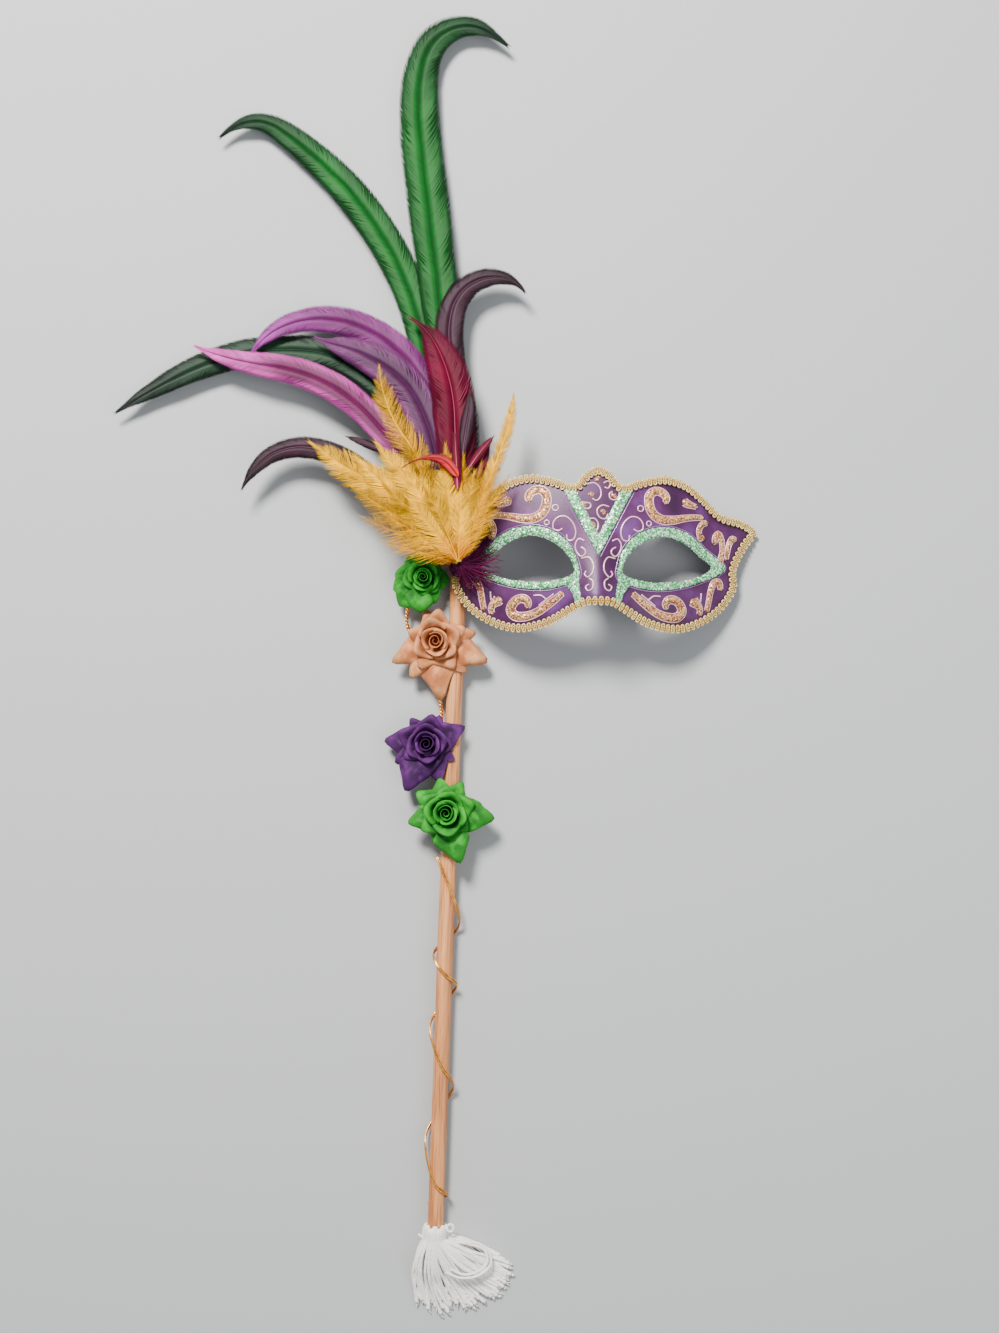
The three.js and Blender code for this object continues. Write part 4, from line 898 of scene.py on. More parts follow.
def makeContours():  # fine raised lines that run beside the eye rims and the vee
    heap, c = Heap(), contourSizes
    for side in (-1, 1):
        rim = eyeLoop(eyeRim, side, mask["lineStep"])
        along = unitRows(loopAlong(rim))
        normal = np.stack([along[:, 1], -along[:, 0]], axis=1) * side * -1
        middle = rim.mean(axis=0)
        if np.mean(np.sum(normal * (rim - middle), axis=1)) < 0:
            normal = -normal
        path = rim + normal * c["gap"]
        heap.add(*tube(toPart(onFace(path, c["lift"])), c["radius"], 6, closed=True))
    v = veeSizes
    for side in (-1, 1):
        outer = v["halfWidth"] + v["width"] / 2 + c["gap"]
        rows = np.array([(side * c["gap"], v["bottom"] - c["gap"]),
                         (side * outer * c["veeShare"], v["top"] * c["veeShare"])])
        heap.add(*tube(toPart(onFace(evenPath(rows, 1), c["lift"])), c["radius"], 6))
    return heap.build("maskContours", linePurple)


# Gimp braid: looped threads on both edges of a ribbed middle
braidSizes = {"pitch": 3.1, "reach": 2.75, "inner": 1.0, "thread": 0.44, "rib": 0.3, "ribs": 3, "lift": 0.95,
              "inset": 2.3, "core": 1.6, "coreFlat": 0.35, "coreSunk": 0.2, "turn": 0.72, "loopWidth": 0.29,
              "loopFoot": 0.42, "loopSwing": 0.58, "loopUp": 0.25, "loopDip": 0.15}
ribRows = [(-0.1, 0.12, 0.5), (0, 0.6, 0.62), (0.1, 1.1, 0.36)]  # along, across and up in a short thread


def braidUnit():
    b = braidSizes
    heap = Heap()
    for side in (-1, 1):
        turn = np.linspace(-b["turn"] * math.pi, b["turn"] * math.pi, 10)
        x = b["pitch"] * b["loopWidth"] * np.sin(turn)
        swing = b["loopFoot"] + b["loopSwing"] * np.cos(turn)
        y = side * (b["inner"] + (b["reach"] - b["inner"] - b["thread"]) * swing)
        z = b["loopUp"] - b["loopDip"] * np.cos(turn)
        heap.add(*tube(np.stack([x, y, z], axis=1), b["thread"], 6), sunk=0)
        for k in range(b["ribs"]):  # short threads across the middle, in two rows
            x = (k + 0.5) / b["ribs"] * b["pitch"] - b["pitch"] / 2
            rows = [(x + shift, side * out, up) for shift, out, up in ribRows]
            heap.add(*tube(rows, b["rib"], 5), sunk=0)
    return heap.build("braidUnit", paleGold)


def makeBraid():
    b = braidSizes
    loop = fullOutline(b["inset"], mask["lineStep"])
    path = evenPath(loop, b["pitch"], True)
    along = loopAlong(path)
    normals = faceNormal(path[:, 0], path[:, 1])
    places = toPart(onFace(path, b["lift"]))
    turns = []
    for tangent, normal in zip(along, normals):
        x = Vector((tangent[0], tangent[1], 0))
        z = Vector(normal)
        x = (x - z * x.dot(z)).normalized()
        y = z.cross(x)
        turn = Matrix((x, y, z)).transposed().to_euler()
        turns.append((turn.x, turn.y, turn.z + mask["lean"] * degree))
    unit = braidUnit()
    mesh = repeatAt(places, turns, np.ones((len(places), 3)), unit, paleGold)
    bpy.data.objects.remove(unit)
    points, faces, _ = arraysOf(mesh)
    heap = Heap()
    heap.add(points, faces, sunk=0)
    # The core under the loops takes the thread's dark colour as painted shade, seen in the gaps between the
    # loops.
    core = toPart(onFace(loop, b["lift"] - b["coreSunk"]))
    heap.add(*tube(core, b["core"], 8, closed=True, flat=b["coreFlat"]), sunk=1)
    return heap.build("gimpBraid", paleGold)


dress(makeShell(), "pearl_plastic", "mask_shell")
dress(makeScrolls(), "scroll_gold")
dress(makeOutlines(), "scroll_gold")
rimLeft, rimRight = makeRims()
dress(rimLeft, "green_glitter", "eye_rim_left")
dress(rimRight, "green_glitter", "eye_rim_right")
dress(makeVee(), "green_glitter", "vee_band")
dress(makeCurls(), "scroll_gold")
dress(makeDots(), "scroll_gold")
dress(makeContours(), "pearl_plastic")
dress(makeBraid(), "gold_braid", "edge_braid")
print("mask made")


# Handle and its wire
wireSizes = {"start": 231, "run": 209, "reach": 8, "strand": 0.5, "apart": 0.56, "under": 5.85, "step": 1.0,
             "wander": 0.25, "wanderPace": 0.21}
wireRows = [  # run and reach as shares, the turn in quarters from the handle's top
    (0.0, -0.7, 0.98), (0.07, 0, 0.78), (0.187, 1, 1.0), (0.249, 2, 0), (0.282, 3, 0.88), (0.33, 4, 0.78),
    (0.368, 5, 0.94), (0.426, 6, 0), (0.488, 7, 0.95), (0.588, 8, 0.78), (0.655, 9, 0.98), (0.732, 10, 0),
    (0.809, 11, 1.0), (0.933, 12, 0.78), (0.966, 13, 0.85), (0.985, 14, 0), (1.0, 14.6, 0.76),
]


def makeHandle():
    h = handleSizes
    even = np.linspace(h["edge"], h["length"] - h["edge"], 60)
    runs = np.concatenate([[0, h["edgeStep"]], even, [h["length"] - h["edgeStep"], h["length"]]])
    radius = np.full(len(runs), h["radius"])
    radius[[0, -1]] -= h["edge"]
    radius[[1, -2]] -= h["edgeFall"]
    ripple = h["ripple"] * np.sin(even * h["ripplePace"])
    radius[2:-2] += h["uneven"] * np.sin(even * h["unevenPace"]) + ripple
    path = np.stack([np.zeros(len(runs)), runs, np.full(len(runs), h["axisHeight"])], axis=1)
    points, faces = tube(path, radius, h["sides"])
    return makePiece("dowel", points, faces, bareWood)


def wirePath():
    w = wireSizes
    rows = []
    for run, quarter, reach in wireRows:
        rows.append((run * w["run"], quarter, max(reach * w["reach"], w["under"])))
    found = smoothPath(rows, 18)
    turn = found[:, 1] * math.pi / 2
    x = found[:, 2] * np.sin(turn)
    z = handleSizes["axisHeight"] + found[:, 2] * np.cos(turn)
    return np.stack([x, w["start"] - found[:, 0], z], axis=1)


def makeWire():
    heap, w = Heap(), wireSizes
    path = evenPath(wirePath(), w["step"])
    middle = np.array([0, 1, 0])
    for side in (-1, 1):
        along = unitRows(np.gradient(path, axis=0))
        out = unitRows(path * [1, 0, 1] - [0, 0, handleSizes["axisHeight"]])
        beside = np.cross(along, out)
        beside *= np.sign(beside @ middle)[:, None]
        wander = 1 + w["wander"] * np.sin(np.arange(len(path)) * w["wanderPace"])
        strand = path + beside * (side * w["apart"] * wander)[:, None]
        heap.add(*tube(strand, w["strand"], 8))
    return heap.build("wireWrap", goldWire)


roseRun = {"size": 24, "height": 26, "run": 149, "knotAlong": 403}
stemRows = {
    "upper": [(-1.0333, 0.1107, 0.1769), (-1.2292, 0.1678, 0.3077), (-1.2083, 0.2483, 0.3077),
              (-1, 0.2919, 0.2692), (-0.7875, 0.3087, 0.2154)],
    "middle": [(-0.4375, 0.4094, 0.2308), (-0.4375, 0.4631, 0.3077), (-0.3333, 0.5436, 0.3462),
               (-0.3083, 0.6107, 0.3077), (-0.5708, 0.6826, 0.2077)],
}
twistSizes = {"strand": 0.58, "apart": 0.66, "pitch": 4.2, "step": 0.35}


def makeStem(name, rows):
    r, t = roseRun, twistSizes
    places = [(a * r["size"], r["knotAlong"] - b * r["run"], up * r["height"]) for a, b, up in rows]
    path = evenPath(smoothPath(places, 14), t["step"])
    along = unitRows(np.gradient(path, axis=0))
    side = unitRows(np.cross(along, [0, 0, 1]))
    up = np.cross(side, along)
    run = np.arange(len(path)) * t["step"]
    heap = Heap()
    for start in (0, math.pi):
        angle = (run * 2 * math.pi / t["pitch"] + start)[:, None]
        strand = path + (side * np.cos(angle) + up * np.sin(angle)) * t["apart"]
        heap.add(*tube(strand, t["strand"], 7))
    return heap.build(name, goldWire)


dress(makeHandle(), "bare_wood", "handle_stick")
dress(makeWire(), "gold_wire", "wire_wrap")
dress(makeStem("stemUpper", stemRows["upper"]), "gold_wire", "stem_wire_upper")
dress(makeStem("stemMiddle", stemRows["middle"]), "gold_wire", "stem_wire_middle")
print("handle and wires made")


# Paper roses
greenPaper = paperFinish("greenPaper", linear(2, 62, 4), linear(12, 96, 12), linear(52, 158, 40))
copperPaper = paperFinish(
    "copperPaper", linear(146, 80, 42), linear(176, 106, 62), linear(218, 152, 104), 0.15)
purplePaper = paperFinish("purplePaper", linear(26, 2, 36), linear(46, 8, 58), linear(92, 38, 106), 0.1)
roses = [  # outer petals: direction in degrees and reach as a share of the radius
    {"name": "roseGreenTop", "node": "rose_green_top", "slot": "green_paper", "paper": greenPaper,
     "across": -0.9667, "below": 0.0658, "radius": 0.7292, "height": 1, "base": 0, "cup": (0.15, 0.16),
     "point": 0.02, "seed": 3,
     "petals": [(4, 0.98), (47, 0.95), (84, 1.0), (122, 0.9), (160, 0.84), (196, 0.9), (232, 1.02),
                (264, 1.0), (302, 0.82)]},
    {"name": "roseCopper", "node": "rose_copper", "slot": "copper_paper", "paper": copperPaper,
     "across": -0.4375, "below": 0.3423, "radius": 1, "height": 0.9231, "base": 0, "cup": (-0.07, 0.28),
     "point": 0.3, "seed": 8,
     "petals": [(29, 0.88), (112, 0.95), (192, 1.0), (228, 0.74), (265, 0.99), (316, 0.68), (350, 1.03)]},
    {"name": "rosePurple", "node": "rose_purple", "slot": "purple_paper", "paper": purplePaper,
     "across": -0.6417, "below": 0.7383, "radius": 0.9375, "height": 0.9231, "base": 0, "cup": (0.0, 0.22),
     "point": 0.22, "seed": 14,
     "petals": [(29, 1.04), (68, 0.9), (112, 0.86), (169, 1.0), (208, 0.72), (241, 1.04), (305, 0.78),
                (348, 0.7)]},
    {"name": "roseGreenLow", "node": "rose_green_low", "slot": "green_paper", "paper": greenPaper,
     "across": 0.0625, "below": 1, "radius": 0.9583, "height": 0.8462, "base": 0.2, "cup": (-0.16, 0.16),
     "point": 0.2, "seed": 21,
     "petals": [(4, 0.94), (30, 0.72), (80, 0.88), (114, 1.0), (142, 1.04), (189, 1.03), (235, 0.68),
                (272, 1.02)]},
]
petalRings = [  # root and length are shares of the radius, up is the root's height, angles in degrees
    {"petals": 0, "root": 0.16, "length": 1.0, "up": 0.3, "start": 50, "end": -18, "spread": 33,
     "roll": 100},
    {"petals": 5, "root": 0.24, "length": 0.6, "up": 0.32, "start": 66, "end": 10, "spread": 44,
     "roll": 150},
    {"petals": 4, "root": 0.27, "length": 0.54, "up": 0.36, "start": 84, "end": 46, "spread": 56,
     "roll": 110},
    {"petals": 3, "root": 0.2, "length": 0.48, "up": 0.42, "start": 92, "end": 66, "spread": 78,
     "roll": 70},
]
paperSizes = {"thickness": 0.3, "across": 15, "along": 15, "ringTurn": 37, "seedTurn": 11, "overHandle": 12.2,
              "handleReach": 7, "handleFade": 2.5, "overlap": 0.08}
petalForm = {"tipFall": 0.2, "pointWidth": 0.32, "pointSink": 0.45, "rollFrom": 0.74, "rollRun": 0.26,
             "rollPower": 1.3, "rollLeast": 0.3, "rollMore": 0.7, "open": 0.8, "openMore": 0.55,
             "openLess": 0.42, "ruffle": 0.035, "ruffles": 5, "hollow": 0.07, "crease": 0.06,
             "creaseWidth": 0.22, "lipFrom": 0.62, "lipRun": 0.3, "lip": 0.5}
budSizes = {"steps": 54, "levels": 9, "turn": 4.2, "inner": 0.03, "spread": 0.17, "foot": 0.42, "rise": 0.53,
            "drop": 0.06, "wall": 0.92, "lip": 0.3, "coreFoot": 0.2, "coreFootRadius": 0.24}
coreRows = [(0.2, 0.34), (0.4, 0.4), (0.46, 0.26), (0.62, 0.1)]  # height and radius as shares of the rose's


def roseMiddle(rose):
    radius = rose["radius"] * roseRun["size"]
    return np.array([rose["across"] * roseRun["size"] + rose["cup"][0] * radius,
                     roseRun["knotAlong"] - rose["below"] * roseRun["run"] + rose["cup"][1] * radius,
                     rose["base"] * roseRun["height"]])


def petalAim(rose, direction, reach):  # an outer petal's turn and length, seen from the cup
    turn = direction * degree
    across = reach * math.cos(turn) - rose["cup"][0]
    along = reach * math.sin(turn) - rose["cup"][1]
    return math.atan2(along, across) / degree, math.hypot(across, along)


def overHandle(points):  # paper that crosses the handle lies on it
    reach = paperSizes["handleReach"] - np.abs(points[..., 0])
    share = np.clip(reach / paperSizes["handleFade"], 0, 1)
    lift = np.maximum(0, paperSizes["overHandle"] - points[..., 2]) * share * share * (3 - 2 * share)
    return points + np.stack([0 * lift, 0 * lift, lift], axis=-1)


def addPetal(heap, rose, ring, turn, reach, dice):
    radius, height = rose["radius"] * roseRun["size"], rose["height"] * roseRun["height"]
    length = radius * ring["length"] * reach
    leanStart, leanEnd = ring["start"] + dice.uniform(-6, 8), ring["end"] + dice.uniform(-8, 12)
    phase, skew = dice.uniform(0, 6.28), dice.uniform(-0.16, 0.16)
    u = np.linspace(-1, 1, paperSizes["across"])[:, None]
    v = np.linspace(0, 1, paperSizes["along"])[None, :]
    p = petalForm
    point = np.exp(-(((u - skew) / p["pointWidth"]) ** 2)) - p["pointSink"]
    tip = 1 - p["tipFall"] * u ** 2 + rose["point"] * point
    rolled = np.clip((v - p["rollFrom"]) / p["rollRun"], 0, 1) ** p["rollPower"]
    rollShare = p["rollLeast"] + p["rollMore"] * np.abs(u - skew) ** 0.8
    slope = leanStart + (leanEnd - leanStart) * v ** 0.8 - ring["roll"] * rollShare * rolled
    step = length * tip / (paperSizes["along"] - 1)
    flow = np.cumsum(step * np.cos(slope * degree), axis=1)
    climb = np.cumsum(step * np.sin(slope * degree), axis=1)
    out = radius * ring["root"] + flow
    opening = p["open"] + p["openMore"] * v - p["openLess"] * v ** 4
    angle = (turn + ring["spread"] * (u + skew * v) * opening) * degree
    ruffle = p["ruffle"] * height * np.sin(p["ruffles"] * u + phase) * v ** 2
    hollow = p["hollow"] * height * u ** 2 * v * (1 - 0.7 * v)
    narrow = np.exp(-(((u - skew) / p["creaseWidth"]) ** 2))
    crease = p["crease"] * height * narrow * v * (1 - 0.5 * v)
    rise = height * ring["up"] + climb + (ruffle + hollow - crease)
    top = np.stack([out * np.cos(angle), out * np.sin(angle), rise], axis=2)
    top = overHandle(top + roseMiddle(rose))
    normal = np.cross(np.gradient(top, axis=0), np.gradient(top, axis=1))
    normal /= np.linalg.norm(normal, axis=2)[..., None] + 1e-9
    low = top - normal * paperSizes["thickness"]
    counts = paperSizes["across"], paperSizes["along"]
    points, faces = thickGrid(top.reshape(-1, 3), low.reshape(-1, 3), *counts)
    lip = (np.clip((v - p["lipFrom"]) / p["lipRun"], 0, 1) * np.ones_like(u)).reshape(-1) * p["lip"]
    heap.add(points, faces, lip=np.concatenate([lip, lip]))


def addBud(heap, rose):  # the rolled bud, a spiral sheet that opens upwards, round a plain core
    b, middle = budSizes, roseMiddle(rose)
    radius, height = rose["radius"] * roseRun["size"], rose["height"] * roseRun["height"]
    turn = np.linspace(0, b["turn"] * math.pi, b["steps"])[:, None]
    v = np.linspace(0, 1, b["levels"])[None, :]
    share = turn / turn.max()
    out = radius * (b["inner"] + b["spread"] * share) * (0.85 + 0.3 * v ** 2)
    out = out * (1 + 0.06 * np.sin(2.3 * turn))
    rise = height * (b["foot"] + (b["rise"] - b["drop"] * share) * v)
    aim = turn + rose["seed"]
    top = np.stack([out * np.cos(aim), out * np.sin(aim), rise + 0 * out], axis=2)
    low = top * [b["wall"], b["wall"], 1]
    sheets = [(sheet + middle).reshape(-1, 3) for sheet in (top, low)]
    points, faces = thickGrid(*sheets, b["steps"], b["levels"])
    lip = (b["lip"] * (v + 0 * turn) ** 4).reshape(-1)
    heap.add(points, faces, lip=np.concatenate([lip, lip]))
    rows = np.array([(0, 0, b["coreFoot"])] + [(0, 0, height * up) for up, _ in coreRows])
    wide = np.array([b["coreFootRadius"]] + [reach for _, reach in coreRows])
    heap.add(*tube(rows + middle, radius * wide, 14), lip=0)


def makeRose(rose):
    heap, dice = Heap(), random.Random(rose["seed"])
    outer, *inner = petalRings
    for direction, reach in rose["petals"]:
        turn, length = petalAim(rose, direction, reach)
        addPetal(heap, rose, outer, turn, length - outer["root"] + paperSizes["overlap"], dice)
    for level, ring in enumerate(inner):
        start = rose["seed"] * paperSizes["seedTurn"] + level * paperSizes["ringTurn"]
        for petal in range(ring["petals"]):
            turn = start + petal * 360 / ring["petals"]
            addPetal(heap, rose, ring, turn + dice.uniform(-13, 13), dice.uniform(0.85, 1.05), dice)
    addBud(heap, rose)
    return heap.build(rose["name"], rose["paper"])


for rose in roses:
    dress(makeRose(rose), rose["slot"], rose["node"])
print("roses made")


# Plume
plume = {
    "knotAcross": 1, "knotAlong": 403, "knotRadius": 8, "gap": 0.3, "height": 20.5, "fall": 15,
    "fallReach": 160, "rise": 0.5, "riseReach": 70, "layer": 1.25, "vane": 0.85, "length": 359, "width": 25,
}
vaneRows = [(0.0, 0), (0.12, 0.1), (0.24, 0.5), (0.4, 0.86), (0.56, 1.0), (0.7, 0.98), (0.8, 0.86),
            (0.88, 0.68), (0.94, 0.44), (1.0, 0.06)]


def plumeFloor(x, y):
    distance = np.hypot(x - plume["knotAcross"], y - plume["knotAlong"])
    fall = plume["fall"] * (1 - np.exp(-((distance / plume["fallReach"]) ** 2)))
    rise = plume["rise"] * np.maximum(0, x) * np.exp(-(((y - plume["knotAlong"]) / plume["riseReach"]) ** 2))
    return plume["height"] - fall + rise


def barbUnit(side, style, material):  # one barb, one long and one forward
    segments = barbSizes["segments"]
    v = np.linspace(0, 1, segments + 1)
    half = style["width"] / 2 * (1 - style["taper"] * v ** 2)
    half[-1] = style["width"] * barbSizes["tip"]
    y = v ** style["bend"]
    rings = []
    for i in range(segments + 1):
        x, high = side * v[i], style["ridge"] * (1 - 0.7 * v[i])
        rings += [(x, y[i] - half[i], 0), (x, y[i] + half[i], 0), (x, y[i], high)]
    faces = [(0, 1, 2), (3 * segments + 2, 3 * segments + 1, 3 * segments)]
    for i in range(segments):
        for k in range(3):
            m = (k + 1) % 3
            faces.append((3 * i + k, 3 * i + 3 + k, 3 * i + 3 + m, 3 * i + m))
    if side < 0:
        faces = [face[::-1] for face in faces]
    return makePiece("barb", rings, faces, material)


def featherPath(at, heading, length, count, begin=None):
    share = np.linspace(0, 1, count)
    smooth = np.interp(share, at, heading)
    kernel = np.hanning(31)
    padded = np.concatenate([np.full(15, smooth[0]), smooth, np.full(15, smooth[-1])])
    smooth = np.convolve(padded, kernel / kernel.sum(), "valid") * degree
    start = heading[0] * degree
    reach = plume["knotRadius"] + plume["gap"]
    across, along = plume["knotAcross"], plume["knotAlong"]
    x0, y0 = begin or (across - reach * math.sin(start), along + reach * math.cos(start))
    step = length / (count - 1)
    x = x0 - np.concatenate([[0], np.cumsum(np.sin(smooth[:-1]) * step)])
    y = y0 + np.concatenate([[0], np.cumsum(np.cos(smooth[:-1]) * step)])
    return share, x, y, smooth


styles = {  # barbs: forward run over reach, width and spacing over that run, curve, unevenness and fraying
    "sleek": {"sweep": 1.3, "width": 0.17, "spacing": 0.066, "bend": 1.5, "jitter": 0.012, "wild": 0.03,
              "ridge": 0.07, "camber": 1.6, "fray": 0.02, "taper": 0.2, "tone": 0.12},
    "soft": {"sweep": 1.1, "width": 0.098, "spacing": 0.048, "bend": 1.3, "jitter": 0.16, "wild": 0.3,
             "ridge": 0.07, "camber": 1.4, "fray": 0.16, "taper": 0.6, "tone": 0.16},
    "fluffy": {"sweep": 1.0, "width": 0.05, "spacing": 0.045, "bend": 1.25, "jitter": 0.3, "wild": 0.9,
               "ridge": 0.12, "camber": 0.8, "fray": 0.3, "taper": 0.7, "tone": 0.2},
    "wispy": {"sweep": 0.9, "width": 0.036, "spacing": 0.075, "bend": 1.2, "jitter": 0.4, "wild": 1.2,
              "ridge": 0.12, "camber": 0.5, "fray": 0.35, "taper": 0.7, "tone": 0.2},
}
barbSizes = {"segments": 3, "tip": 0.06, "bare": 0.1, "end": 0.995, "least": 0.09, "leastRun": 0.4,
             "leastForward": 0.3, "clump": 9, "wave": 0.5, "waves": 0.16, "floor": 0.3}
quillSizes = {"samples": 500, "picks": 48, "radius": 0.62, "thinning": 0.86, "rise": 0.25, "shade": 0.8}


def barbStations(row, style, length, widest):  # where barbs leave the quill, and how far each reaches out
    vane, b = np.array(row.get("vane", vaneRows)), barbSizes

    def halfAt(s):
        return np.interp(s, vane[:, 0], vane[:, 1]) * widest

    s, stations, reaches = row.get("bare", b["bare"]), [], []
    while s < b["end"]:
        reach = max(halfAt(min(1, s + style["sweep"] * halfAt(s) / length)), widest * b["least"])
        stations.append(s)
        reaches.append(reach)
        s += style["spacing"] * max(reach, widest * b["leastRun"]) * style["sweep"] / length
    return np.array(stations), np.array(reaches)


def barbField(stations, reaches, style, length, widest, dice):  # places, sizes and values, a little uneven
    count = len(stations)
    marks = np.arange(0, count + barbSizes["clump"], barbSizes["clump"])
    clump = np.interp(np.arange(count), marks, dice.normal(0, 1, len(marks)))
    uneven = dice.normal(0, style["jitter"] * 0.35, count)
    reaches = reaches * (1 + uneven - style["fray"] * np.abs(clump) * 0.6)
    uneven = dice.normal(0, style["jitter"], count)
    forward = style["sweep"] * reaches * (1 + uneven + style["fray"] * clump * 0.5)
    places = np.stack([np.zeros(count), stations * length, np.zeros(count)], axis=1)
    forward = np.maximum(forward, widest * barbSizes["leastForward"])
    sizes = np.stack([reaches, forward, np.ones(count)], axis=1)
    lift = dice.normal(0, 1, count)
    # The shade value: random tone per clump and per barb, spread wide so it also paints shade between the
    # clumps and highlights on them.
    tone = 0.5 + style["tone"] * clump + dice.normal(0, style["tone"] * 0.6, count)
    values = {"along": stations, "reach": reaches, "lift": lift, "shade": np.clip(tone, 0, 1)}
    return places, sizes, values


def growFeather(heap, row, material, layer, seed):
    style, b, q = styles[row.get("style", "sleek")], barbSizes, quillSizes
    dice = np.random.default_rng(seed)
    length, widest = row["length"] * plume["length"], row["width"] * plume["width"] / 2
    share, x, y, heading = featherPath(row["at"], row["heading"], length, q["samples"], row.get("begin"))
    stations, reaches = barbStations(row, style, length, widest)
    for side in (-1, 1):
        places, sizes, values = barbField(stations, reaches, style, length, widest, dice)
        unit = barbUnit(side, style, material)
        mesh = repeatAt(places, np.zeros((len(places), 3)), sizes, unit, material, values)
        bpy.data.objects.remove(unit)
        points, faces, (along, reach, lift, shade) = arraysOf(mesh, "along", "reach", "lift", "shade")
        out = np.clip(np.abs(points[:, 0]) / np.maximum(reach, 0.01), 0, 1)
        t = points[:, 1] / length
        over = np.maximum(0, t - 1) * length  # past the quill's end barbs run straight on
        t = np.clip(t, 0, 1)
        px, py, turn = np.interp(t, share, x), np.interp(t, share, y), np.interp(t, share, heading)
        px = px - np.sin(turn) * over + points[:, 0] * np.cos(turn)
        py = py + np.cos(turn) * over + points[:, 0] * np.sin(turn)
        wave = b["wave"] * np.sin(along * length * b["waves"] + seed) * out ** 2
        arch = -style["camber"] * (points[:, 0] / widest) ** 2 * row.get("camber", 1)
        z = plumeFloor(px, py) + layer * plume["layer"] + plume["vane"] / 2 + points[:, 2] + arch + wave
        z = np.maximum(z + style["wild"] * lift * out ** 1.5, b["floor"])
        shade = shade + row.get("tone", 0)
        heap.add(np.stack([px, py, z], axis=1), faces, along=t, out=out, shade=shade, quill=0)
    pick = np.linspace(0, q["samples"] - 1, q["picks"]).astype(int)
    z = plumeFloor(x[pick], y[pick]) + layer * plume["layer"] + plume["vane"] / 2 + q["rise"]
    spine = np.stack([x[pick], y[pick], z], axis=1)
    thick = row.get("quill", q["radius"]) * (1 - q["thinning"] * share[pick] ** 0.8)
    heap.add(*tube(spine, thick, 6), along=0.5, out=0, shade=0.5, quill=row.get("quillShade", q["shade"]))


featherColors = {  # root, middle, tip, edge and quill as seen, 0 to 255, and gloss
    "greenFeather": ((8, 72, 24), (14, 88, 26), (4, 26, 14), (6, 48, 18), (4, 34, 18), 0.2),
    "farGreenFeather": ((18, 56, 30), (16, 50, 26), (10, 20, 14), (8, 26, 16), (6, 20, 12), 0.3),
    "plumFeather": ((52, 8, 28), (50, 18, 36), (20, 4, 10), (28, 8, 18), (96, 64, 84), 0.25),
    "knotDown": ((92, 12, 56), (84, 16, 62), (58, 12, 50), (58, 12, 50), (84, 16, 62), 0.1),
    "violetFeather": ((46, 6, 28), (96, 20, 86), (150, 52, 142), (128, 40, 120), (70, 8, 54), 0.3),
    "pinkFeather": ((78, 8, 52), (96, 16, 70), (212, 80, 176), (212, 78, 176), (78, 8, 52), 0.3),
    "mauveFeather": ((56, 10, 50), (66, 20, 60), (96, 40, 90), (116, 54, 108), (62, 22, 58), 0.3),
    "burgundyFeather": ((112, 1, 40), (92, 1, 34), (70, 1, 28), (84, 1, 36), (206, 110, 128), 0.15),
    "redFeather": ((190, 4, 18), (168, 4, 20), (16, 2, 4), (120, 2, 16), (110, 2, 12), 0.3),
    "yellowFeather": ((216, 118, 0), (238, 172, 0), (248, 190, 0), (250, 194, 2), (255, 208, 50), 0.02),
}
featherFinishes = {name: featherFinish(name, *colors) for name, colors in featherColors.items()}
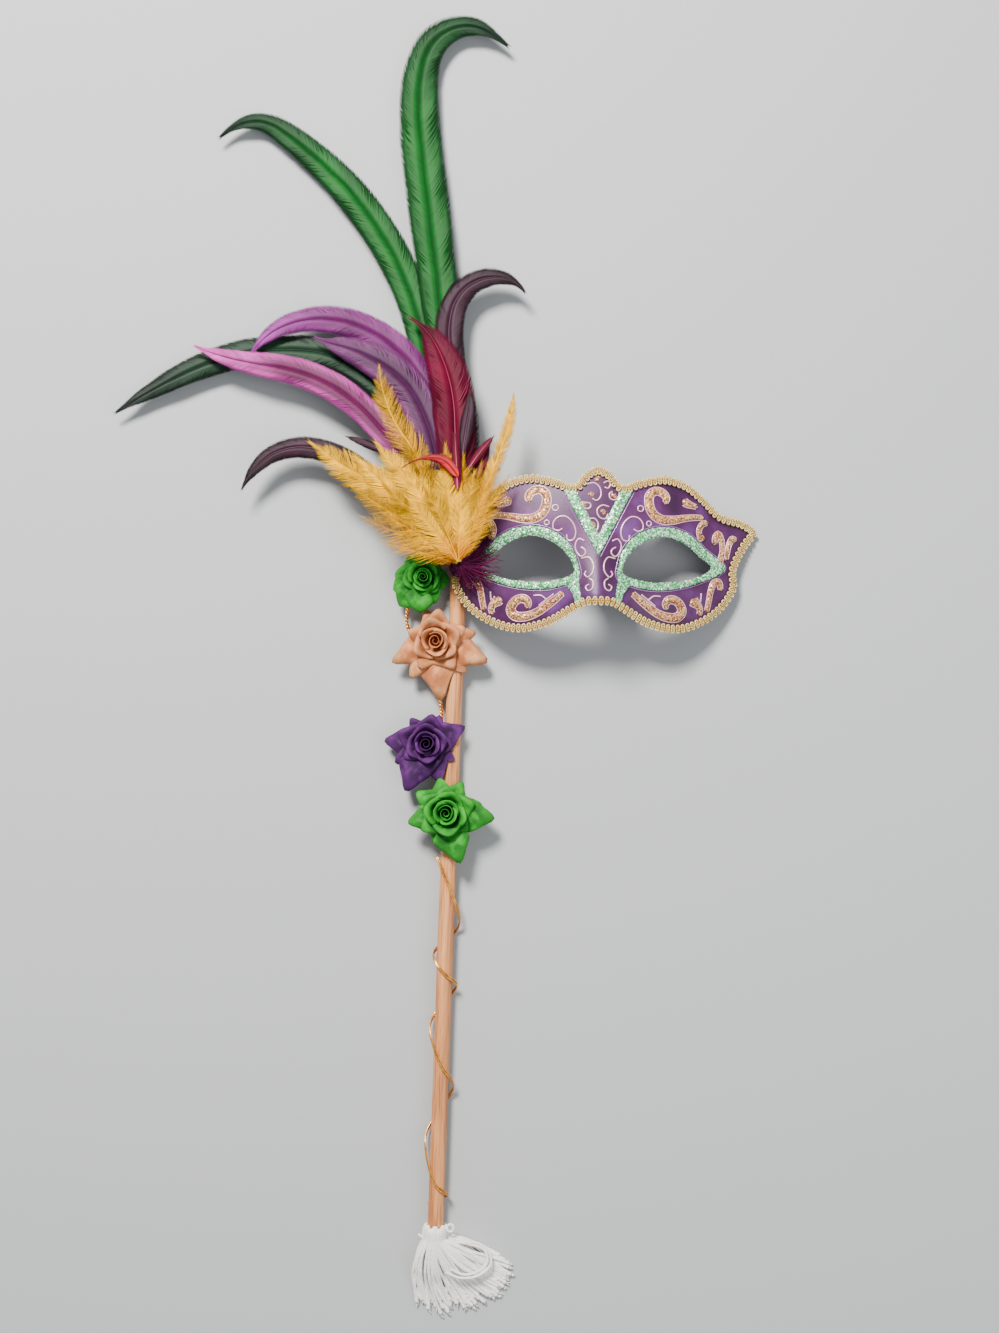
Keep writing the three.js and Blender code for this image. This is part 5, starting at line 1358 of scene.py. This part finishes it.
featherRows = [  # length and width as shares of the plume's, headings in degrees at shares of the length
    {"node": "feather_green_far", "slot": "green_feather", "finish": "farGreenFeather", "layer": 0,
     "length": 0.7883, "width": 0.76, "at": [0, 0.23, 0.36, 0.45, 0.53, 0.63, 0.73, 0.82, 1],
     "heading": [17, 25, 42, 57, 81, 95, 106, 117, 126]},
    {"node": "feather_green_left", "slot": "green_feather", "layer": 1, "length": 0.9053, "width": 0.86,
     "at": [0, 0.27, 0.41, 0.53, 0.63, 0.79, 0.88, 0.93, 1],
     "heading": [8, 14, 13, 27, 36, 51, 57, 100, 140]},
    {"node": "feather_green_tall", "slot": "green_feather", "layer": 2, "length": 1, "width": 1.04,
     "at": [0, 0.28, 0.49, 0.66, 0.76, 0.83, 0.87, 0.91, 0.95, 1],
     "heading": [5, 7, 9, 9, 2, -17, -50, -80, -117, -130]},
    {"node": "feather_plum_left", "slot": "plum_feather", "layer": 3, "length": 0.4401, "width": 0.56,
     "at": [0, 0.28, 0.46, 0.59, 0.68, 0.78, 0.86, 1], "heading": [44, 47, 56, 71, 85, 109, 133, 158]},
    {"node": "feather_plum_right", "slot": "plum_feather", "layer": 3, "length": 0.5571, "width": 0.72,
     "at": [0, 0.31, 0.48, 0.63, 0.72, 0.78, 0.85, 0.92, 1],
     "heading": [0, 5, 10, 6, -13, -39, -70, -100, -150]},
    {"node": "feather_violet", "slot": "violet_feather", "layer": 4, "length": 0.6323, "width": 0.76,
     "at": [0, 0.28, 0.43, 0.52, 0.65, 0.74, 0.82, 0.9, 1],
     "heading": [9, 13, 23, 43, 65, 83, 100, 121, 152]},
    {"node": "feather_pink", "slot": "pink_feather", "layer": 5, "length": 0.585, "width": 0.72,
     "at": [0, 0.26, 0.37, 0.45, 0.55, 0.65, 0.76, 0.87, 1],
     "heading": [24, 34, 43, 44, 57, 70, 83, 80, 66]},
    {"node": "feather_mauve", "slot": "mauve_feather", "layer": 6, "length": 0.4624, "width": 0.92,
     "at": [0, 0.39, 0.56, 0.66, 0.78, 0.91, 1], "heading": [13, 16, 30, 50, 64, 78, 66]},
    {"node": "feather_plum_middle", "slot": "plum_feather", "layer": 7, "length": 0.312, "width": 1.04,
     "at": [0, 0.5, 1], "heading": [4, 2, 6]},
    {"node": "feather_burgundy", "slot": "burgundy_feather", "layer": 8, "length": 0.4039, "width": 1.06,
     "at": [0, 0.54, 0.73, 0.86, 1], "heading": [4, 4, 19, 31, 62], "quill": 0.4, "quillShade": 0.5},
    {"node": "feather_burgundy_short", "slot": "burgundy_feather", "layer": 9, "length": 0.1894,
     "width": 0.36, "at": [0, 0.6, 1], "heading": [-9, -10, -22]},
    {"node": "feather_yellow_low", "slot": "yellow_feather", "layer": 9, "length": 0.2451, "width": 0.6,
     "style": "fluffy", "at": [0, 0.5, 0.75, 1], "heading": [38, 48, 75, 92]},
    {"node": "feather_yellow_left", "slot": "yellow_feather", "layer": 10, "length": 0.2953, "width": 0.88,
     "style": "soft", "at": [0, 0.27, 0.47, 0.69, 1], "heading": [44, 47, 56, 61, 54]},
    {"node": "feather_yellow_right", "slot": "yellow_feather", "layer": 10, "length": 0.273, "width": 0.4,
     "style": "soft", "at": [0, 0.42, 0.66, 1], "heading": [-15, -20, -18, -2]},
    {"node": "feather_yellow_top", "slot": "yellow_feather", "layer": 11, "length": 0.3315, "width": 0.72,
     "style": "fluffy", "at": [0, 0.39, 0.61, 0.8, 1], "heading": [18, 27, 38, 22, 4]},
]
leafVane = [(0, 0.1), (0.15, 0.6), (0.35, 0.95), (0.55, 1.0), (0.75, 0.8), (0.9, 0.5), (1.0, 0.08)]
bodyTufts = [  # heading, length, width, layer and style of each tuft of the yellow mass
    (-24, 50, 13, 12.2, "fluffy"), (-15, 56, 14, 12.6, "wispy"), (-7, 52, 15, 12.4, "fluffy"),
    (3, 55, 17, 13.0, "fluffy"), (12, 62, 18, 12.6, "fluffy"), (22, 74, 19, 12.4, "fluffy"),
    (32, 78, 20, 13.2, "soft"), (42, 80, 20, 12.6, "soft"), (52, 70, 17, 12.8, "fluffy"),
    (62, 56, 15, 12.4, "wispy"), (72, 40, 11, 12.2, "wispy"),
    (-4, 46, 16, 14.4, "soft"), (14, 54, 19, 14.2, "soft"), (28, 58, 20, 14.8, "soft"),
    (41, 56, 18, 14.4, "soft"), (54, 46, 15, 14.0, "fluffy"), (-17, 38, 12, 14.2, "fluffy"),
    (22, 44, 17, 15.6, "soft"), (36, 42, 15, 15.8, "soft"), (4, 38, 14, 15.4, "soft"),
]
tuftSizes = {"start": 1.5, "longer": 7, "wider": 1.2, "bend": 9, "backBend": -7, "bendFrom": 15, "tone": 0.3,
             "bare": 0.03, "quill": 0.22, "quillShade": 0.35, "camber": 2.2}
looseLeaves = [  # small feathers on top of the yellow mass, each from its own place
    {"name": "redCurl", "slot": "burgundy_feather", "finish": "redFeather", "begin": (-1, 452.5),
     "length": 0.108, "width": 0.3, "layer": 17.4, "at": [0, 0.25, 0.45, 0.7, 1],
     "heading": [32, 44, 82, 108, 128], "bare": 0.02, "quill": 0.3,
     "vane": [(0, 0.4), (0.15, 0.85), (0.35, 1), (0.55, 0.6), (0.72, 0.18), (1, 0.05)]},
    {"name": "burgundyFoot", "slot": "burgundy_feather", "begin": (-1.5, 446), "length": 0.09, "width": 0.24,
     "layer": 16.6, "at": [0, 1], "heading": [4, 6], "bare": 0.02, "quill": 0.4,
     "vane": [(0, 0.6), (0.3, 1), (0.7, 0.8), (1, 0.4)]},
    {"name": "plumLeaf", "slot": "plum_feather", "begin": (0.5, 466), "length": 0.11, "width": 0.34,
     "layer": 11.6, "at": [0, 0.6, 1], "heading": [-4, -8, 6], "vane": leafVane, "bare": 0.02, "quill": 0.4},
    {"name": "plumTip", "slot": "plum_feather", "begin": (-42, 467), "length": 0.08, "width": 0.2,
     "layer": 4.2, "at": [0, 1], "heading": [66, 74], "vane": leafVane, "bare": 0.02, "quill": 0.3},
    {"name": "maroonLeaf", "slot": "burgundy_feather", "begin": (4, 458), "length": 0.07, "width": 0.22,
     "layer": 12.4, "at": [0, 1], "heading": [-30, -42], "vane": leafVane, "bare": 0.02, "quill": 0.3},
]


def finishOf(row):  # the finish bears the slot's name, unless the row names another
    first, second = row["slot"].split("_")
    return featherFinishes[row.get("finish", first + second.capitalize())]


def pieceName(node):
    first, *others = node.split("_")
    return first + "".join(word.capitalize() for word in others)


def makeFeathers():
    for index, row in enumerate(featherRows):
        heap = Heap()
        growFeather(heap, row, finishOf(row), row["layer"], 40 + index)
        dress(heap.build(pieceName(row["node"]), finishOf(row)), row["slot"], row["node"])


def makeLooseLeaves():
    for index, row in enumerate(looseLeaves):
        heap = Heap()
        growFeather(heap, row, finishOf(row), row["layer"], 140 + index)
        dress(heap.build(row["name"], finishOf(row)), row["slot"])


def makeYellowMass():
    heap, finish, s = Heap(), featherFinishes["yellowFeather"], tuftSizes
    for index, (heading, length, width, layer, style) in enumerate(bodyTufts):
        across, along = math.sin(heading * degree), math.cos(heading * degree)
        begin = (plume["knotAcross"] - s["start"] * across, plume["knotAlong"] + s["start"] * along)
        bend = s["bend"] if heading > s["bendFrom"] else s["backBend"]
        # Each tuft's tone shift darkens some tufts and lightens others, as painted shade and painted light
        # between the tufts.
        row = {"style": style, "length": (length + s["longer"]) / plume["length"],
               "width": width * s["wider"] / plume["width"], "vane": leafVane, "at": [0, 1],
               "heading": [heading, heading + bend], "bare": s["bare"], "quill": s["quill"],
               "quillShade": s["quillShade"], "camber": s["camber"], "begin": begin,
               "tone": s["tone"] * math.sin(index * 2.1)}
        growFeather(heap, row, finish, layer, 80 + index)
    dress(heap.build("yellowMass", finish), "yellow_feather", "plume_yellow_body")


knotSizes = {"low": 11.8, "high": 35, "core": 4.6, "strands": 260, "inner": 3.8, "outer": 6.4, "sweep": 0.9,
             "bulge": 1.2, "strandEnds": (0.4, 0.1), "down": 200, "downReach": 25, "downEnds": (0.42, 0.08),
             "aims": [0.85, 0.35, -0.3, -1.05], "aimShares": [0.3, 0.3, 0.2, 0.2], "aimSpread": 0.16,
             "curl": 0.35, "cover": 1.8, "coverFrom": 9, "coreMiddle": 24, "seed": 6}


def addStrand(heap, middle, dice):  # one barb wound round the bound quills
    k = knotSizes
    angle, level = dice.uniform(0, 2 * math.pi), dice.uniform(0, 1)
    radius, sweep = dice.uniform(k["inner"], k["outer"]), dice.uniform(-k["sweep"], k["sweep"])
    steps = []
    for t in np.linspace(0, 1, 7):
        turn, out = angle + sweep * t, radius + k["bulge"] * math.sin(t * math.pi) - k["bulge"] * t
        height = k["low"] + 2 + (k["high"] - k["low"] - 4) * level + dice.uniform(-0.8, 0.8)
        steps.append([middle[0] + out * math.cos(turn), middle[1] + out * math.sin(turn), height])
    heap.add(*tube(steps, np.linspace(*k["strandEnds"], 7), 4), along=dice.uniform(0.1, 0.7), out=0,
             shade=dice.uniform(0.2, 1))


def addDown(heap, middle, dice):  # one strand of down that falls over the mask's left end
    k = knotSizes
    angle = dice.choice(k["aims"], p=k["aimShares"]) + dice.normal(0, k["aimSpread"])
    reach = k["downReach"] * dice.uniform(0.45, 1)
    curl = dice.normal(0, k["curl"])
    steps = []
    for t in np.linspace(0, 1, 8):
        turn, out = angle + curl * t, 1 + reach * t
        place = middle + out * np.array([math.cos(turn), math.sin(turn)])
        plan = (place - [maskAcross, mask["along"]]) @ np.array([[leanCos, -leanSin], [leanSin, leanCos]])
        cover = float(faceHeight(plan[0], plan[1])) + k["cover"]
        start = k["high"] + 0.5 - 3 * t
        height = max(cover if out > k["coverFrom"] else 0, start * (1 - t) + cover * t)
        steps.append([place[0], place[1], height + dice.uniform(0, 0.5)])
    heap.add(*tube(steps, np.linspace(*k["downEnds"], 8), 4), along=dice.uniform(0, 0.5), out=0,
             shade=dice.uniform(0.2, 1))


def makeKnot():  # the bound quills with their dark down
    k, heap, finish = knotSizes, Heap(), featherFinishes["knotDown"]
    dice = np.random.default_rng(k["seed"])
    middle = np.array([plume["knotAcross"], plume["knotAlong"]])
    for _ in range(k["strands"]):
        addStrand(heap, middle, dice)
    for _ in range(k["down"]):
        addDown(heap, middle, dice)
    heights = (k["low"], k["low"] + 2, k["coreMiddle"], k["high"] - 3, k["high"])
    core = [(middle[0], middle[1], z) for z in heights]
    heap.add(*tube(core, np.array([0.8, 1, 1, 0.9, 0.5]) * k["core"], 14), along=0.1, out=0, shade=0.1)
    dress(heap.build("plumeKnotDown", finish), "plum_feather", "plume_knot")


makeFeathers()
makeYellowMass()
makeLooseLeaves()
makeKnot()
print("plume made")


# Tassel
lockRows = [  # side of the head, heading, bend and length of the locks, left to right
    (-1.0, -32, 62, 0.92), (-0.85, -24, 52, 1.0), (-0.6, -14, 40, 1.08), (-0.35, -3, 30, 1.14),
    (-0.1, 8, 26, 1.18), (0.15, 19, 22, 1.18), (0.4, 30, 18, 1.18), (0.6, 42, 14, 1.2), (0.78, 54, 8, 1.16),
    (0.9, 66, -8, 1.04), (1.0, 82, -52, 0.9),
]
overCords = [  # two cords that lie across the others: across, along, up
    [(6.6, -16, 9.5), (16.8, -19, 10), (27.5, -17, 9.2), (33.8, -10.8, 7.4), (32, -3.7, 6.6),
     (25.7, 0.8, 6.6), (15, 1.5, 8)],
    [(10, -14, 9.4), (18, -16.8, 10.2), (27, -14.6, 9), (31.6, -9.4, 7.4), (29.6, -3, 6.6), (22, 0, 7.2),
     (12, 1.8, 8)],
]
tasselSizes = {
    "top": 12.5, "foot": 1.0, "cord": 0.88, "cords": 128, "length": 39, "waist": 2, "seed": 12,
    "headCords": 11, "headReach": 6.0, "headBulge": 1.2, "headCord": 0.95, "overHead": 0.42, "sleeve": 6.1,
    "turnSpread": 7, "bendSpread": 12, "shortest": 0.82, "longest": 1.04, "sideReach": 5.6, "steps": 26,
    "pile": 8.5, "spacing": 1.65, "clear": 1.12, "frays": 5, "lobes": 3, "lobeDepth": 0.11, "twist": 2.6,
}
ringSizes = {"across": 8.9, "along": 10.4, "up": 9.5, "halfAcross": 1.9, "halfAlong": 2.2, "cord": 0.75}
stubRows = [(-6.2, 2.4, 6), (-8.4, 3.4, 5.4), (-10.2, 4.6, 5)]  # the short end beside the head


def cordTube(heap, path, radius):
    t = tasselSizes
    heap.add(*tube(path, radius, 9, t["lobes"], t["lobeDepth"], t["twist"]))


def addHeadCord(heap, k):  # a cord under the handle, that closes the head's back
    t, axis = tasselSizes, handleSizes["axisHeight"]
    angle = -math.pi * (k + 0.5) / t["headCords"]
    rows = []
    for s in np.linspace(0, 1, 12):
        reach = t["headReach"] + t["headBulge"] * math.sin(s * math.pi * 0.8)
        height = max(axis + math.sin(angle) * reach * 0.92, 0.98)
        rows.append([math.cos(angle) * reach, t["top"] - 1.2 - s * (t["top"] - t["foot"]), height])
    radius = np.full(12, t["headCord"])
    radius[0] = 0.5
    cordTube(heap, rows, radius)


def cordPath(k, dice):  # one loose cord, from the head to its frayed end
    t, axis, table = tasselSizes, handleSizes["axisHeight"], np.array(lockRows)
    pick = (k + dice.uniform(0, 1)) / t["cords"] * (len(table) - 1)
    side, heading, bend, share = (np.interp(pick, np.arange(len(table)), table[:, c]) for c in range(4))
    heading += dice.uniform(-t["turnSpread"], t["turnSpread"])
    bend += dice.uniform(-t["bendSpread"], t["bendSpread"])
    run = share * t["length"] * dice.uniform(t["shortest"], t["longest"])
    pile = dice.uniform(0, 1) ** 1.3
    x, y = side * t["sideReach"] + dice.uniform(-0.8, 0.8), t["waist"] + dice.uniform(0, 3)
    startHeight = axis + (pile - 0.45) * 10
    rows, steps = [], t["steps"]
    if pile > t["overHead"]:  # this cord starts at the head's top, over the handle
        over = max(-0.97, min(0.97, side * 0.92 + dice.uniform(-0.1, 0.1)))
        lobe = t["top"] - 2.2 * abs(math.sin(over * 4.2)) - dice.uniform(0, 0.5)
        rise = axis + t["sleeve"] * math.sqrt(1 - over * over)
        rows = [[over * t["sleeve"], lobe, rise], [over * (t["sleeve"] + 0.6), 8, rise + 0.5],
                [over * (t["sleeve"] + 0.3), 5.2, rise]]
        startHeight = rise - 0.4
        x, y = over * (t["sleeve"] + 0.2), 3.0
    for i in range(steps + 1):
        s = i / steps
        turn = (heading + bend * s + 4 * math.sin(s * 5 + k)) * degree
        fallen = min(1, s * 1.7)
        rest = t["cord"] + 0.1 + t["pile"] * pile * (1 - s) ** 0.6 * min(1, 1.4 * (1 - s) + 0.3)
        height = startHeight * (1 - fallen) + rest * fallen + 1.6 * pile * math.sin(s * math.pi)
        rows.append([x, y, max(height, t["cord"] + 0.12)])
        x += math.sin(turn) * (run + t["waist"]) / steps
        y -= math.cos(turn) * (run + t["waist"]) / steps
    return evenPath(np.array(rows), t["spacing"])


def addFrays(heap, rows, dice):  # the frayed end of a cord
    end, along = rows[-1], rows[-1] - rows[-3]
    along /= np.linalg.norm(along)
    for _ in range(tasselSizes["frays"]):
        aim = along + np.array([dice.uniform(-0.7, 0.7), dice.uniform(-0.7, 0.7), dice.uniform(-0.3, 0.5)])
        tip = end + aim * dice.uniform(1.0, 2.0)
        tip[2] = max(tip[2], 0.35)
        heap.add(*tube([end - along * 0.6, (end + tip) / 2, tip], [0.42, 0.34, 0.14], 5))


def addOverCords(heap):  # the two cords that lie across, the small ring they leave and a short end
    r = ringSizes
    for rows in overCords:
        path = evenPath(smoothPath(rows, 10), 1.0)
        cordTube(heap, path, np.full(len(path), tasselSizes["cord"] * 0.9))
    ring = []
    for turn in np.linspace(0, 2 * math.pi, 22, endpoint=False):
        across, along = r["halfAcross"] * math.cos(turn), r["halfAlong"] * math.sin(turn)
        ring.append((r["across"] + across, r["along"] + along, r["up"]))
    heap.add(*tube(ring, r["cord"], 7, closed=True))
    cordTube(heap, evenPath(smoothPath(stubRows, 6), 0.8), 0.7)


def makeTassel():
    t, heap, dice = tasselSizes, Heap(), random.Random(tasselSizes["seed"])
    for k in range(t["headCords"]):
        addHeadCord(heap, k)
    for k in range(t["cords"]):
        rows = cordPath(k, dice)
        radius = np.full(len(rows), t["cord"])
        radius[-3:] = [t["cord"] * 1.15, t["cord"] * 1.5, t["cord"] * 1.1]
        rows[:, 2] = np.maximum(rows[:, 2], radius * t["clear"])
        cordTube(heap, rows, radius)
        addFrays(heap, rows, dice)
    addOverCords(heap)
    return heap.build("tasselCords", whiteCord)


dress(makeTassel(), "white_cord", "tassel")
print("tassel made")


# Floor and light
stageSizes = {"floor": 12000, "drop": 0.0004}
lightAim = (0.03, 0.36, 0.02)  # this and the lamps' places and sizes in metres
lamps = {
    "key": {"place": (-0.45, 1.35, 1.25), "size": 0.45, "power": 74, "color": (1, 0.98, 0.95)},
    "fill": {"place": (0.9, 0.1, 1.2), "size": 1.2, "power": 10, "color": (0.94, 0.97, 1)},
}
skyLight = {"color": (0.9, 0.95, 1, 1), "strength": 0.42}


def makeStage():
    material = newFinish("paleFloor", linear(176, 178, 178), 0.85)[0]
    half = stageSizes["floor"] / 2
    corners = [(-half, -half, 0), (half, -half, 0), (half, half, 0), (-half, half, 0)]
    floor = makePiece("floor", corners, [(0, 1, 2, 3)], material, None, False)
    floor.location.z = -stageSizes["drop"]


def addLamp(name, lamp):
    data = bpy.data.lights.new(name, "AREA")
    data.shape, data.size, data.energy, data.color = "DISK", lamp["size"], lamp["power"], lamp["color"]
    holder = bpy.data.objects.new(name, data)
    bpy.context.scene.collection.objects.link(holder)
    holder.location = lamp["place"]
    aim = Vector(lightAim) - Vector(lamp["place"])
    holder.rotation_euler = aim.to_track_quat("-Z", "Y").to_euler()


def lightStudio():
    world = bpy.data.worlds.new("studio")
    world.use_nodes = True
    sky = world.node_tree.nodes["Background"]
    sky.inputs["Color"].default_value = skyLight["color"]
    sky.inputs["Strength"].default_value = skyLight["strength"]
    bpy.context.scene.world = world
    for name, lamp in lamps.items():
        addLamp(name, lamp)


makeStage()
lightStudio()
print("stage and light made")
